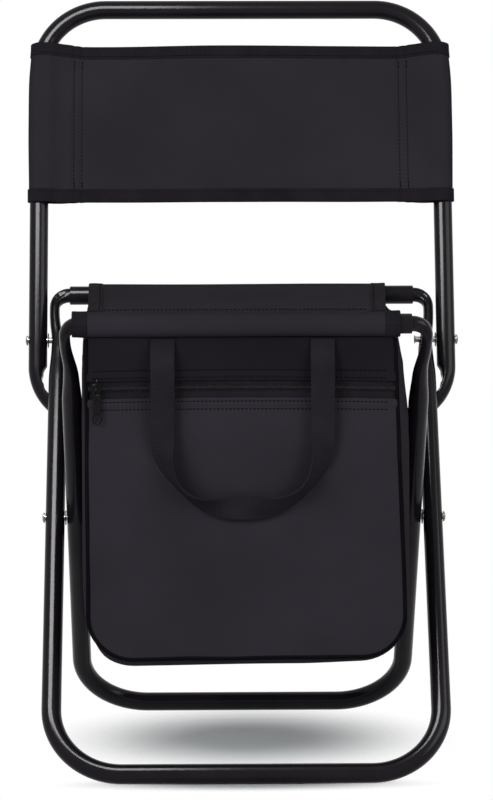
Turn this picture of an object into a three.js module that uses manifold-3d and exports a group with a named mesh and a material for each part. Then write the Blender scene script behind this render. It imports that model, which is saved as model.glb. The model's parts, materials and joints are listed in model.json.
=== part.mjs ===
// Folding cooler stool: two crossed tube legs, a folding backrest and a cooler bag under the seat.
// Millimetres, +Z up, front towards -Y, +X to the right in the front view, origin on the floor.
import * as THREE from 'three';
import * as BufferGeometryUtils from 'three/addons/utils/BufferGeometryUtils.js';
import Module from 'manifold-3d';

const wasm = await Module();
wasm.setup();

// Tube stock
const tubeDiameter = 16;
const tubeSides = 16;
const bendSteps = 7;
const neckDiameter = 12.4;
const neckLength = 24;
const swageLength = 14;
const spigotLength = 26;
const elbowRadius = 8.5;
const floorBendRadius = 57;

// Leg frames, to tube centres
const pivotHeight = 193;
const floorHalfDepth = 139;
const seatBarHeight = 366.5;
const frontLegSpacing = 313.6;

// Backrest loop: its pivot below the seat bars, then measured along its own plane from the pivot
const backrestPivotDrop = 36.1;
const backrestRise = 298.3;
const crossbarDrop = 67.9;
const backrestTopRadius = 60;
const backrestLowerRadius = 45;

// Rivets and washers
const rivetDiameter = 5;
const rivetHeadDiameter = 8.6;
const rivetHeadHeight = 2.2;
const rivetTailDiameter = 7.4;
const rivetTailHeight = 0.9;
const washerDiameter = 12;
const legWasherThickness = 0.8;
const backrestWasherThickness = 0.8;
const rivetClearance = 0.3;
const rivetSides = 14;

// Gap left between pieces that touch, and between a cloth pocket and its tube
const touchGap = 0.3;
const pocketGap = 0.4;

// Cloth
const clothThickness = 1.2;
const bindingThickness = 0.8;
const clothShift = -3;

// Backrest band, hung below the loop's top bar
const slingTopDrop = 33.3;
const slingHeight = 141;
const slingSeamInset = 34;
const slingPocketLength = 8;
const slingBindingHeight = 11;

// Seat
const seatWidth = 256;
const seatSag = 5;
const seatBindingWidth = 12;

// Bag
const bagHalfWidth = 122;
const bagPanelHeight = 255.25;
const bagCornerRadius = 30;
const crossbarClearance = 5;
const panelThickness = 1.5;
const pipingDiameter = 3.6;
const gussetThickness = 1.5;
const gussetSideBulge = 8.5;
const gussetFloorSag = 12;
const gussetTopRise = 9;
const bulgeStartDrop = 36;
const bulgeLength = 70;
const liningThickness = 3;

// Zip
const zipDrop = 39.25;
const zipSlotGap = 0.5;
const zipTapeWidth = 9;
const zipTapeThickness = 0.6;
const zipCoilWidth = 5;
const zipCoilThickness = 2.2;
const zipEndInset = 3;
const sliderWidth = 8;
const sliderLength = 9;
const sliderThickness = 2.2;
const bailReach = 3.2;
const bailWire = 1.4;
const bailSpan = 5;
const pullerLength = 28;
const pullerWidth = 7;
const pullerThickness = 1.2;
const pullerEyeDiameter = 4;

// Carry handle
const webbingWidth = 19;
const webbingThickness = 1.6;
const handleSpan = 126;
const handleDrop = 133.2;
const handleBendRadius = 38;
const handleClearance = 1.1;
const handleSettle = 24;

// Angles and places that follow from the sizes above
const tubeRadius = tubeDiameter / 2;
const tubeCorner = tubeRadius / Math.cos(Math.PI / tubeSides);
const legRun = pivotHeight - tubeRadius;
const legLean = Math.atan2(floorHalfDepth, legRun);
const legBelow = Math.hypot(floorHalfDepth, legRun);
const legAbove = (seatBarHeight - pivotHeight) / Math.cos(legLean);
const seatHalfDepth = legAbove * Math.sin(legLean);
const stackGap = 2 * (tubeCorner - tubeRadius) + 2 * touchGap;
const frontLegX = frontLegSpacing / 2;
const rearLegX = frontLegX - tubeDiameter - legWasherThickness - stackGap;
const backrestX = frontLegX + tubeDiameter + backrestWasherThickness + stackGap;
const backrestPivotHeight = seatBarHeight - backrestPivotDrop;
const backrestPivotAlong = (backrestPivotHeight - pivotHeight) / Math.cos(legLean);
const backrestPivotDepth = backrestPivotAlong * Math.sin(legLean);
const backrestLean = legLean - restAngle();
const backrestTopDepth = backrestPivotDepth + backrestRise * Math.sin(backrestLean);
const originDepth = (backrestTopDepth - floorHalfDepth) / 2;

const paint = new THREE.MeshStandardMaterial({ color: 0x0c0b0d, roughness: 0.22, metalness: 0.4 });
const nickel = new THREE.MeshStandardMaterial({ color: 0xb9b7b2, roughness: 0.3, metalness: 1 });
const cloth = new THREE.MeshStandardMaterial({ color: 0x2b282e, roughness: 0.85, metalness: 0 });
const tape = new THREE.MeshStandardMaterial({ color: 0x17161a, roughness: 0.9, metalness: 0 });
const foam = new THREE.MeshStandardMaterial({ color: 0xb8bcc0, roughness: 0.4, metalness: 0.3 });
const zipPlastic = new THREE.MeshStandardMaterial({ color: 0x101012, roughness: 0.45, metalness: 0.1 });

function addMesh(parent, name, geometry, material) {
  const mesh = new THREE.Mesh(geometry, material);
  mesh.name = name;
  parent.add(mesh);
  return mesh;
}

function addGroup(parent, position = [0, 0, 0], turnX = 0) {
  const group = new THREE.Group();
  group.position.set(...position);
  group.rotation.x = turnX;
  parent.add(group);
  return group;
}

// Skin over a row of rings with equal counts of points, with flat ends unless the row closes on itself.
function loft(rings, closed = false) {
  const count = rings[0].length;
  const spans = closed ? rings.length : rings.length - 1;
  const index = [];
  for (let i = 0; i < spans; i++) {
    const here = i * count;
    const next = ((i + 1) % rings.length) * count;
    for (let j = 0; j < count; j++) {
      const k = (j + 1) % count;
      index.push(here + j, next + j, next + k, here + j, next + k, here + k);
    }
  }
  if (!closed) {
    const end = (rings.length - 1) * count;
    for (let j = 1; j < count - 1; j++) {
      index.push(0, j, j + 1, end, end + j + 1, end + j);
    }
  }
  const geometry = new THREE.BufferGeometry();
  const positions = rings.flat().flatMap((p) => [p.x, p.y, p.z]);
  geometry.setAttribute('position', new THREE.Float32BufferAttribute(positions, 3));
  geometry.setIndex(index);
  return faceOutwards(geometry);
}

function faceOutwards(geometry) {
  const position = geometry.getAttribute('position');
  const index = geometry.getIndex().array;
  const [a, b, c] = [new THREE.Vector3(), new THREE.Vector3(), new THREE.Vector3()];
  let volume = 0;
  for (let i = 0; i < index.length; i += 3) {
    a.fromBufferAttribute(position, index[i]);
    b.fromBufferAttribute(position, index[i + 1]);
    c.fromBufferAttribute(position, index[i + 2]);
    volume += a.dot(b.cross(c));
  }
  if (volume < 0) {
    for (let i = 0; i < index.length; i += 3) {
      [index[i + 1], index[i + 2]] = [index[i + 2], index[i + 1]];
    }
  }
  geometry.computeVertexNormals();
  return geometry;
}

// Stations along a flat path: each corner {x, y, bend, size} is rounded to its bend radius.
function roundedPath(corners, stepsPerBend, closed = false) {
  const stations = [];
  const count = corners.length;
  corners.forEach((corner, i) => {
    const here = new THREE.Vector2(corner.x, corner.y);
    const before = corners[closed ? (i + count - 1) % count : Math.max(i - 1, 0)];
    const after = corners[closed ? (i + 1) % count : Math.min(i + 1, count - 1)];
    const arrive = here.clone().sub(new THREE.Vector2(before.x, before.y)).normalize();
    const leave = new THREE.Vector2(after.x, after.y).sub(here).normalize();
    const turn = Math.atan2(arrive.cross(leave), arrive.dot(leave));
    if (!corner.bend || Math.abs(turn) < 1e-6) {
      const along = i === 0 && !closed ? leave : arrive;
      stations.push({ point: here, along, size: corner.size });
      return;
    }
    const setBack = corner.bend * Math.tan(Math.abs(turn) / 2);
    const start = here.clone().addScaledVector(arrive, -setBack);
    const side = Math.sign(turn);
    const inward = new THREE.Vector2(-arrive.y, arrive.x).multiplyScalar(side);
    const centre = start.clone().addScaledVector(inward, corner.bend);
    for (let step = 0; step <= stepsPerBend; step++) {
      const angle = (turn * step) / stepsPerBend;
      const origin = new THREE.Vector2();
      const point = start.clone().sub(centre).rotateAround(origin, angle).add(centre);
      const along = arrive.clone().rotateAround(origin, angle);
      stations.push({ point, along, size: corner.size });
    }
  });
  return stations;
}

// Round section with flats at the given radius; one flat faces the angle named by phase.
function tubeRing(station, sides, phase) {
  const normal = new THREE.Vector2(-station.along.y, station.along.x);
  const corner = station.size / Math.cos(Math.PI / sides);
  return Array.from({ length: sides }, (_, k) => {
    const angle = phase + ((k + 0.5) * 2 * Math.PI) / sides;
    const across = corner * Math.cos(angle);
    return new THREE.Vector3(
      station.point.x + normal.x * across,
      station.point.y + normal.y * across,
      corner * Math.sin(angle),
    );
  });
}

function polygon(flatRadius, sides) {
  const corner = flatRadius / Math.cos(Math.PI / sides);
  return Array.from({ length: sides }, (_, k) => {
    const angle = ((k + 0.5) * 2 * Math.PI) / sides;
    return new THREE.Vector2(corner * Math.cos(angle), corner * Math.sin(angle));
  });
}

// Hollow round bar along X, centred at the given X.
function hollowBar(outerRadius, innerRadius, length, centreX = 0) {
  const shape = new THREE.Shape(polygon(outerRadius, tubeSides));
  shape.holes.push(new THREE.Path(polygon(innerRadius, tubeSides)));
  const geometry = new THREE.ExtrudeGeometry(shape, { depth: length, bevelEnabled: false });
  return geometry.translate(0, 0, -length / 2).rotateY(Math.PI / 2).translate(centreX, 0, 0);
}

function toSolid(geometry) {
  const bare = geometry.clone();
  bare.deleteAttribute('normal');
  bare.deleteAttribute('uv');
  const merged = faceOutwards(BufferGeometryUtils.mergeVertices(bare));
  return new wasm.Manifold(new wasm.Mesh({
    numProp: 3,
    vertProperties: Float32Array.from(merged.getAttribute('position').array),
    triVerts: Uint32Array.from(merged.getIndex().array),
  }));
}

function toGeometry(solid) {
  const mesh = solid.getMesh();
  const geometry = new THREE.BufferGeometry();
  geometry.setAttribute('position', new THREE.BufferAttribute(Float32Array.from(mesh.vertProperties), 3));
  geometry.setIndex(new THREE.BufferAttribute(Uint32Array.from(mesh.triVerts), 1));
  geometry.computeVertexNormals();
  return geometry;
}

// Cross holes for rivets through both side tubes at each distance along the frame.
function drillForRivets(geometry, sideX, distances) {
  const holeRadius = rivetDiameter / 2 + rivetClearance;
  let solid = toSolid(geometry);
  for (const along of distances) {
    for (const side of [-1, 1]) {
      const hole = new THREE.CylinderGeometry(holeRadius, holeRadius, 2 * tubeDiameter, rivetSides);
      hole.rotateZ(Math.PI / 2).translate(side * sideX, along, 0);
      solid = solid.subtract(toSolid(hole));
    }
  }
  return toGeometry(solid);
}

// U of tube in its own plane: floor bar below, legs up, necked ends bent inwards at the top.
function legTube(legX, turnX, rivetDistances) {
  const full = tubeRadius;
  const neck = neckDiameter / 2;
  const left = [
    { x: elbowRadius + spigotLength - legX, y: legAbove, bend: 0, size: neck },
    { x: -legX, y: legAbove, bend: elbowRadius, size: neck },
    { x: -legX, y: legAbove - neckLength, bend: 0, size: neck },
    { x: -legX, y: legAbove - neckLength - swageLength, bend: 0, size: full },
    { x: -legX, y: -legBelow, bend: floorBendRadius, size: full },
  ];
  const right = left.map((corner) => ({ ...corner, x: -corner.x })).reverse();
  const down = Math.atan2(-Math.cos(turnX), -Math.sin(turnX));
  const rings = roundedPath([...left, ...right], bendSteps).map((s) => tubeRing(s, tubeSides, down));
  return drillForRivets(loft(rings), legX, rivetDistances);
}

function backrestLoop(stepsPerBend) {
  const corner = (x, y, bend) => ({ x, y, bend, size: tubeRadius });
  const corners = [
    corner(-backrestX, -crossbarDrop, backrestLowerRadius),
    corner(backrestX, -crossbarDrop, backrestLowerRadius),
    corner(backrestX, backrestRise, backrestTopRadius),
    corner(-backrestX, backrestRise, backrestTopRadius),
  ];
  return roundedPath(corners, stepsPerBend, true);
}

function backrestTube() {
  const rings = backrestLoop(bendSteps).map((s) => tubeRing(s, tubeSides, 0));
  return drillForRivets(loft(rings, true), backrestX, [0]);
}

// Angle between front legs and backrest when the loop's lower bends rest against the back of the legs.
function restAngle() {
  const reach = 2 * tubeCorner + touchGap;
  const sines = backrestLoop(8 * bendSteps).map(({ point }) => {
    const aside = Math.abs(point.x) - frontLegX;
    const rests = point.y < 0 && Math.abs(aside) < reach;
    return rests ? Math.sqrt(reach ** 2 - aside ** 2) / -point.y : 0;
  });
  return Math.asin(Math.max(...sines));
}

// Rivet along +X from its flattened tail to its domed head; the two seats lie at tailX and headX.
function rivet(tailX, headX) {
  const shank = rivetDiameter / 2;
  const head = rivetHeadDiameter / 2;
  const tail = rivetTailDiameter / 2;
  const tailEnd = tailX - rivetTailHeight;
  const steps = [[0, tailEnd], [tail, tailEnd], [tail, tailX], [shank, tailX], [shank, headX]];
  const profile = steps.map(([radius, x]) => new THREE.Vector2(radius, x));
  const domeSteps = 4;
  for (let step = 0; step <= domeSteps; step++) {
    const angle = ((Math.PI / 2) * step) / domeSteps;
    const radius = step === domeSteps ? 0 : head * Math.cos(angle);
    profile.push(new THREE.Vector2(radius, headX + rivetHeadHeight * Math.sin(angle)));
  }
  const lathe = new THREE.LatheGeometry(profile, rivetSides).rotateZ(-Math.PI / 2);
  return toGeometry(toSolid(lathe));
}

function washer(thickness, centreX) {
  const shape = new THREE.Shape(polygon(washerDiameter / 2, tubeSides));
  shape.holes.push(new THREE.Path(polygon(rivetDiameter / 2 + rivetClearance, rivetSides)));
  const geometry = new THREE.ExtrudeGeometry(shape, { depth: thickness, bevelEnabled: false });
  return geometry.translate(0, 0, -thickness / 2).rotateY(Math.PI / 2).translate(centreX, 0, 0);
}

// Pairs of rivets and washers, mirrored left and right, through the tubes at innerX and outerX.
function addPivots(parent, prefix, along, innerX, outerX, washerThickness) {
  const seatGap = tubeCorner + touchGap;
  const washerX = (innerX + outerX) / 2;
  const sides = [['left', Math.PI], ['right', 0]];
  for (const [side, turn] of sides) {
    const seat = new THREE.Group();
    seat.position.y = along;
    seat.rotation.z = turn;
    parent.add(seat);
    addMesh(seat, `${prefix}_rivet_${side}`, rivet(innerX - seatGap, outerX + seatGap), nickel);
    addMesh(seat, `${prefix}_washer_${side}`, washer(washerThickness, washerX), nickel);
  }
}

const slingTop = backrestRise - slingTopDrop;
const slingBottom = slingTop - slingHeight;

// The band's top covers the start of the upper bends, so its pocket is wider than the tube by this drift.
const bendStart = backrestRise - backrestTopRadius;
const bendTilt = Math.asin(Math.max(0, slingTop - bendStart) / backrestTopRadius);
const tiltGrowth = tubeCorner * (1 / Math.cos(bendTilt) - 1);
const tubeDrift = pocketGap + backrestTopRadius * (1 - Math.cos(bendTilt)) + tiltGrowth;

function arcPoints(centreX, radius, fromAngle, toAngle, steps) {
  return Array.from({ length: steps + 1 }, (_, k) => {
    const angle = fromAngle + ((toAngle - fromAngle) * k) / steps;
    return new THREE.Vector2(centreX + radius * Math.cos(angle), radius * Math.sin(angle));
  });
}

// Half of a band's section round the right backrest tube: front layer, round the tube, back to the seam.
function bandHalf(radius, thickness, seamX) {
  const innerX = backrestX - tubeDrift;
  const seam = new THREE.Vector2(seamX, thickness - radius);
  const toSeam = seam.clone().sub(new THREE.Vector2(innerX, 0));
  const touch = Math.atan2(toSeam.y, toSeam.x) + 2 * Math.PI - Math.acos(radius / toSeam.length());
  const quarter = Math.PI / 2;
  return [
    ...arcPoints(backrestX, radius, -quarter, quarter, 8),
    ...arcPoints(innerX, radius, quarter, touch, 3),
    seam,
  ];
}

function mirrored(points) {
  return points.map((p) => new THREE.Vector2(-p.x, p.y)).reverse();
}

function bandPoints(radius, thickness, seamX) {
  const half = bandHalf(radius, thickness, seamX);
  return [...half, ...mirrored(half)];
}

// Stand a section that is drawn in X and depth up along the backrest plane.
function alongBackrest(shape, bottom, top) {
  const geometry = new THREE.ExtrudeGeometry(shape, { depth: top - bottom, bevelEnabled: false });
  return geometry.rotateX(-Math.PI / 2).translate(0, bottom, 0);
}

const slingInner = tubeCorner + pocketGap;
const slingOuter = slingInner + clothThickness;
const slingSeamX = backrestX - slingSeamInset;

function backrestSling() {
  const shape = new THREE.Shape(bandPoints(slingOuter, clothThickness, slingSeamX));
  const pocket = bandHalf(slingInner, touchGap, slingSeamX + slingPocketLength);
  shape.holes.push(new THREE.Path(pocket), new THREE.Path(mirrored(pocket)));
  return alongBackrest(shape, slingBottom, slingTop);
}

function slingBinding(bottom) {
  const grown = (by) => bandPoints(slingOuter + by, clothThickness + 2 * by, slingSeamX - by);
  const shape = new THREE.Shape(grown(touchGap + bindingThickness));
  shape.holes.push(new THREE.Path(grown(touchGap)));
  return alongBackrest(shape, bottom, bottom + slingBindingHeight);
}

// Solid between two grids of points that face each other.
function slab(front, back) {
  const rows = front.length;
  const columns = front[0].length;
  const offset = rows * columns;
  const at = (i, j) => i * columns + j;
  const index = [];
  const quad = (a, b, c, d) => index.push(a, b, c, a, c, d);
  for (let i = 0; i < rows - 1; i++) {
    for (let j = 0; j < columns - 1; j++) {
      const [a, b, c, d] = [at(i, j), at(i + 1, j), at(i + 1, j + 1), at(i, j + 1)];
      quad(a, b, c, d);
      quad(offset + a, offset + d, offset + c, offset + b);
    }
  }
  const last = columns - 1;
  const end = rows - 1;
  for (let i = 0; i < end; i++) {
    quad(at(i, 0), offset + at(i, 0), offset + at(i + 1, 0), at(i + 1, 0));
    quad(at(i, last), at(i + 1, last), offset + at(i + 1, last), offset + at(i, last));
  }
  for (let j = 0; j < last; j++) {
    quad(at(0, j), at(0, j + 1), offset + at(0, j + 1), offset + at(0, j));
    quad(at(end, j), offset + at(end, j), offset + at(end, j + 1), at(end, j + 1));
  }
  const geometry = new THREE.BufferGeometry();
  const positions = [...front.flat(), ...back.flat()].flatMap((p) => [p.x, p.y, p.z]);
  geometry.setAttribute('position', new THREE.Float32BufferAttribute(positions, 3));
  geometry.setIndex(index);
  return faceOutwards(geometry);
}

// Seat cloth: spans from sleeve to sleeve and sags a little between them.
const sleeveInner = tubeCorner + pocketGap;
const sleeveOuter = sleeveInner + clothThickness;
const sleeveCorner = sleeveOuter / Math.cos(Math.PI / tubeSides);
const seatEdge = (sleeveCorner + touchGap) * Math.SQRT1_2;
const seatSpan = seatHalfDepth - seatEdge;

function seatStrip(fromX, toX, lift, thickness) {
  const steps = 8;
  const row = (z) => Array.from({ length: steps + 1 }, (_, k) => {
    const y = seatSpan * ((2 * k) / steps - 1);
    const sag = seatSag * (1 - (y / seatSpan) ** 2);
    const height = seatBarHeight + seatEdge + lift + z - sag;
    return [new THREE.Vector3(fromX, y, height), new THREE.Vector3(toX, y, height)];
  });
  return slab(row(thickness), row(0));
}

// Bag: the front panel hangs under the front bar, the back panel slopes from the rear bar to the floor strip.
const bagTop = seatBarHeight - sleeveCorner - touchGap;
const bagBottomHeight = bagTop - bagPanelHeight;
const zipHeight = bagTop - zipDrop;
const pipingRadius = pipingDiameter / 2;
const seamHalfWidth = bagHalfWidth + touchGap + pipingRadius;
const seamBottom = bagBottomHeight - touchGap - pipingRadius;
const panelCornerRadius = bagCornerRadius - touchGap - pipingRadius;
const panelFrontY = -seatHalfDepth - panelThickness / 2;
const gussetFrontY = -seatHalfDepth + pipingRadius + touchGap;

// The back panel runs from the rear bar down past the front of the backrest's crossbar.
const crossbarForward = seatHalfDepth - backrestPivotDepth + crossbarDrop * Math.sin(backrestLean);
const crossbarDown = bagTop - backrestPivotHeight + crossbarDrop * Math.cos(backrestLean);
const crossbarReach = tubeCorner + crossbarClearance + panelThickness / 2;
const passAngle = Math.asin(crossbarReach / Math.hypot(crossbarForward, crossbarDown));
const backLean = Math.atan2(crossbarForward, crossbarDown) + passAngle;
const backSlope = Math.tan(backLean);
const backDepthAt = (z) => seatHalfDepth - backSlope * (bagTop - z);
const backSetBack = (pipingRadius + touchGap) / Math.cos(backLean);

// Outline of a bag panel between two heights; only a panel that reaches the bag's bottom has round corners.
function panelShape(bottom, top) {
  const shape = new THREE.Shape();
  const quarter = Math.PI / 2;
  shape.moveTo(bagHalfWidth, top);
  shape.lineTo(-bagHalfWidth, top);
  if (bottom === bagBottomHeight) {
    const centreX = bagHalfWidth - panelCornerRadius;
    const centreZ = bottom + panelCornerRadius;
    shape.absarc(-centreX, centreZ, panelCornerRadius, 2 * quarter, 3 * quarter, false);
    shape.absarc(centreX, centreZ, panelCornerRadius, 3 * quarter, 4 * quarter, false);
  } else {
    shape.lineTo(-bagHalfWidth, bottom);
    shape.lineTo(bagHalfWidth, bottom);
  }
  return shape;
}

// Upright plate: the outline is drawn in X and height, the thickness is centred on the given depth.
function uprightPlate(shape, thickness, depth) {
  const settings = { depth: thickness, bevelEnabled: false, curveSegments: 6 };
  const geometry = new THREE.ExtrudeGeometry(shape, settings);
  return geometry.rotateX(Math.PI / 2).translate(0, depth + thickness / 2, 0);
}

function slopeToBack(geometry) {
  const shear = new THREE.Matrix4().makeShear(0, 0, 0, 0, 0, backSlope);
  return geometry.applyMatrix4(shear).translate(0, seatHalfDepth - backSlope * bagTop, 0);
}

function seamPath() {
  const corners = [
    { x: -seamHalfWidth, y: bagTop, bend: 0 },
    { x: -seamHalfWidth, y: seamBottom, bend: bagCornerRadius },
    { x: seamHalfWidth, y: seamBottom, bend: bagCornerRadius },
    { x: seamHalfWidth, y: bagTop, bend: 0 },
  ];
  return roundedPath(corners.map((c) => ({ ...c, size: pipingRadius })), 6);
}

function pipingCord() {
  return loft(seamPath().map((s) => tubeRing(s, 8, 0))).rotateX(Math.PI / 2);
}

// Side and bottom strip: it swells sideways just behind the front seam and sags under the bag's floor.
function gusset() {
  const depthShares = [0, 0.12, 0.3, 0.6, 0.85, 1];
  const sideSwell = [0, 1, 0.45, 0.1, 0, 0];
  const straightSteps = 5;
  const path = [];
  const stations = seamPath();
  stations.forEach((station, i) => {
    path.push(station);
    const next = stations[i + 1];
    if (!next || station.point.distanceTo(next.point) < bagCornerRadius) return;
    for (let step = 1; step < straightSteps; step++) {
      const point = station.point.clone().lerp(next.point, step / straightSteps);
      path.push({ point, along: next.along });
    }
  });
  const grid = (inset) => path.map((station, i) => {
    const outward = new THREE.Vector2(station.along.y, -station.along.x);
    const { x, y: height } = station.point;
    const isTop = i === 0 || i === path.length - 1;
    const rear = backDepthAt(height) - backSetBack;
    const ramp = THREE.MathUtils.clamp((bagTop - bulgeStartDrop - height) / bulgeLength, 0, 1);
    const under = Math.max(0, -outward.y);
    return depthShares.map((share, k) => {
      const side = gussetSideBulge * sideSwell[k] * ramp;
      const floor = gussetFloorSag * Math.sin(Math.PI * share);
      const swell = THREE.MathUtils.lerp(side, floor, under) - inset;
      const rise = isTop && share > 0 && share < 1 ? gussetTopRise : 0;
      const y = THREE.MathUtils.lerp(gussetFrontY, rear, share);
      return new THREE.Vector3(x + outward.x * swell, y, height + outward.y * swell + rise);
    });
  });
  return slab(grid(-gussetThickness / 2), grid(gussetThickness / 2));
}

// Zip: the coil lies in the slot between the two front panels, its tapes behind them.
const zipTop = zipHeight + zipCoilWidth / 2 + zipSlotGap;
const zipBottom = zipHeight - zipCoilWidth / 2 - zipSlotGap;
const upperTapeBottom = zipHeight + zipCoilWidth / 2 + touchGap;
const lowerTapeBottom = zipHeight - zipCoilWidth / 2 - touchGap - zipTapeWidth;

// Foam tub inside the bag, open at the top below the zip.
function lining() {
  const top = lowerTapeBottom - touchGap;
  const outerHalf = seamHalfWidth - gussetThickness / 2 - touchGap;
  const outerBottom = seamBottom + gussetThickness / 2 + touchGap;
  const ring = (height, inset) => {
    const corner = bagCornerRadius - gussetThickness / 2 - touchGap;
    const below = Math.max(0, outerBottom + corner - height);
    const half = outerHalf - corner + Math.sqrt(Math.max(0, corner ** 2 - below ** 2)) - inset;
    const front = gussetFrontY + inset;
    const back = backDepthAt(height) - backSetBack - inset / Math.cos(backLean);
    return [[-half, front], [half, front], [half, back], [-half, back]].map(
      ([x, y]) => new THREE.Vector3(x, y, height),
    );
  };
  const levels = [0.02, 0.12, 0.35, 1].map((share) => outerBottom + bagCornerRadius * share);
  const outside = [...levels, top].map((height) => ring(height, 0));
  const floorTop = outerBottom + liningThickness;
  const inside = [floorTop, ...levels.filter((height) => height > floorTop), top];
  const inner = inside.map((height) => ring(height, liningThickness));
  return loft([...inner, ...outside.reverse()]);
}

function zipTape(bottom) {
  const width = 2 * (bagHalfWidth - zipEndInset);
  const tapeY = panelFrontY + panelThickness + touchGap + zipTapeThickness / 2;
  const geometry = new THREE.BoxGeometry(width, zipTapeThickness, zipTapeWidth);
  return geometry.translate(0, tapeY, bottom + zipTapeWidth / 2);
}

const coilFrontY = panelFrontY - touchGap;

function zipCoil() {
  const half = zipCoilWidth / 2;
  const flat = half * 0.6;
  const outline = [[-half, 0], [-flat, -1], [flat, -1], [half, 0], [flat, 1], [-flat, 1]];
  const shape = new THREE.Shape(outline.map(([x, y]) => new THREE.Vector2(x, (y * zipCoilThickness) / 2)));
  const length = 2 * (bagHalfWidth - zipEndInset);
  const geometry = new THREE.ExtrudeGeometry(shape, { depth: length, bevelEnabled: false });
  geometry.translate(0, 0, -length / 2).rotateY(Math.PI / 2).rotateX(Math.PI);
  return geometry.translate(0, coilFrontY + zipCoilThickness / 2, zipHeight);
}

// Slider: shield shaped plate in front of the coil, with a wire bail for the puller.
const sliderBackY = coilFrontY - touchGap;
const sliderFrontY = sliderBackY - sliderThickness;
const bailFrontY = sliderFrontY - bailReach - bailWire / 2;

function zipSlider() {
  const half = sliderWidth / 2;
  const nose = half * 0.6;
  const end = sliderLength / 2;
  const outline = [[-end, -half], [0, -half], [end, -nose], [end, nose], [0, half], [-end, half]];
  const shape = new THREE.Shape(outline.map(([x, z]) => new THREE.Vector2(x, z + zipHeight)));
  const plate = uprightPlate(shape, sliderThickness, sliderBackY - sliderThickness / 2);
  const wire = { size: bailWire / 2 };
  const top = bailReach + sliderThickness / 2;
  const corners = [
    { x: -bailSpan / 2, y: 0, bend: 0, ...wire },
    { x: -bailSpan / 2, y: top, bend: bailWire, ...wire },
    { x: bailSpan / 2, y: top, bend: bailWire, ...wire },
    { x: bailSpan / 2, y: 0, bend: 0, ...wire },
  ];
  const bail = loft(roundedPath(corners, 3).map((s) => tubeRing(s, 8, 0)));
  const [x, y, z] = [new THREE.Vector3(1, 0, 0), new THREE.Vector3(0, -1, 0), new THREE.Vector3(0, 0, 1)];
  bail.applyMatrix4(new THREE.Matrix4().makeBasis(z, y, x));
  bail.translate(0, sliderBackY - sliderThickness / 2, zipHeight);
  return toGeometry(toSolid(plate).add(toSolid(bail)));
}

// Puller: flat tab whose eye hangs on the bail's lower leg.
function zipPuller() {
  const eye = pullerEyeDiameter / 2;
  const half = pullerWidth / 2;
  const eyeHeight = zipHeight - bailSpan / 2 - (eye - bailWire / 2 - touchGap);
  const top = eyeHeight + half;
  const bottom = top - pullerLength;
  const shape = new THREE.Shape();
  shape.absarc(0, eyeHeight, half, 0, Math.PI, false);
  shape.absarc(0, bottom + half, half, Math.PI, 2 * Math.PI, false);
  const holes = [eyeHeight, bottom + half].map((height) => {
    const hole = new THREE.Path();
    return hole.absarc(0, height, eye, 0, 2 * Math.PI, true);
  });
  shape.holes.push(...holes);
  return uprightPlate(shape, pullerThickness, sliderFrontY - (bailReach - bailWire / 2) / 2);
}

// Webbing loop: sewn just below the front sleeve, so that it can lift, it comes forward over the zip
// and hangs as a flat U.
function carryHandle() {
  const topHeight = bagTop - touchGap - webbingThickness / 2;
  const sewnY = panelFrontY - touchGap - webbingThickness / 2;
  const hangY = bailFrontY - handleClearance - webbingThickness / 2;
  const half = handleSpan / 2;
  const left = [0, handleSettle / 3, (2 * handleSettle) / 3, handleSettle].map(
    (drop) => ({ x: -half, y: topHeight - drop, bend: 0 }),
  );
  left.push({ x: -half, y: topHeight - handleDrop, bend: handleBendRadius });
  const right = left.map((corner) => ({ ...corner, x: -corner.x })).reverse();
  const rings = roundedPath([...left, ...right], 8).map(({ point, along }) => {
    const settled = THREE.MathUtils.smoothstep(topHeight - point.y, 0, handleSettle);
    const y = THREE.MathUtils.lerp(sewnY, hangY, settled);
    const across = new THREE.Vector2(-along.y, along.x).multiplyScalar(webbingWidth / 2);
    const deep = webbingThickness / 2;
    return [[-1, -deep], [1, -deep], [1, deep], [-1, deep]].map(([side, depth]) => (
      new THREE.Vector3(point.x + side * across.x, y + depth, point.y + side * across.y)
    ));
  });
  return loft(rings);
}

// Assembly
const stool = new THREE.Group();
stool.position.y = -originDepth;

const frontTurn = Math.PI / 2 - legLean;
const frontLegs = addGroup(stool, [0, 0, pivotHeight], frontTurn);
addMesh(frontLegs, 'front_leg_tube', legTube(frontLegX, frontTurn, [0, backrestPivotAlong]), paint);

const rearTurn = Math.PI / 2 + legLean;
const rearLegs = addGroup(stool, [0, 0, pivotHeight], rearTurn);
addMesh(rearLegs, 'rear_leg_tube', legTube(rearLegX, rearTurn, [0]), paint);

addPivots(frontLegs, 'leg_pivot', 0, rearLegX, frontLegX, legWasherThickness);
addPivots(frontLegs, 'backrest_pivot', backrestPivotAlong, frontLegX, backrestX, backrestWasherThickness);

const neckCorner = neckDiameter / 2 / Math.cos(Math.PI / tubeSides);
const barBore = neckCorner + touchGap;
const seatBars = [['front', rearLegX, -seatHalfDepth], ['rear', frontLegX, seatHalfDepth]];
for (const [name, legX, depth] of seatBars) {
  const place = addGroup(stool, [0, depth, seatBarHeight]);
  const length = 2 * (legX - elbowRadius - touchGap);
  addMesh(place, `${name}_seat_bar`, hollowBar(tubeRadius, barBore, length), paint);
  addMesh(place, `seat_${name}_sleeve`, hollowBar(sleeveOuter, sleeveInner, seatWidth, clothShift), cloth);
}

const backrest = addGroup(stool, [0, backrestPivotDepth, backrestPivotHeight], Math.PI / 2 - backrestLean);
addMesh(backrest, 'backrest_tube', backrestTube(), paint);
addMesh(backrest, 'backrest_sling', backrestSling(), cloth);
addMesh(backrest, 'backrest_binding_top', slingBinding(slingTop - slingBindingHeight), tape);
addMesh(backrest, 'backrest_binding_bottom', slingBinding(slingBottom), tape);

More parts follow.
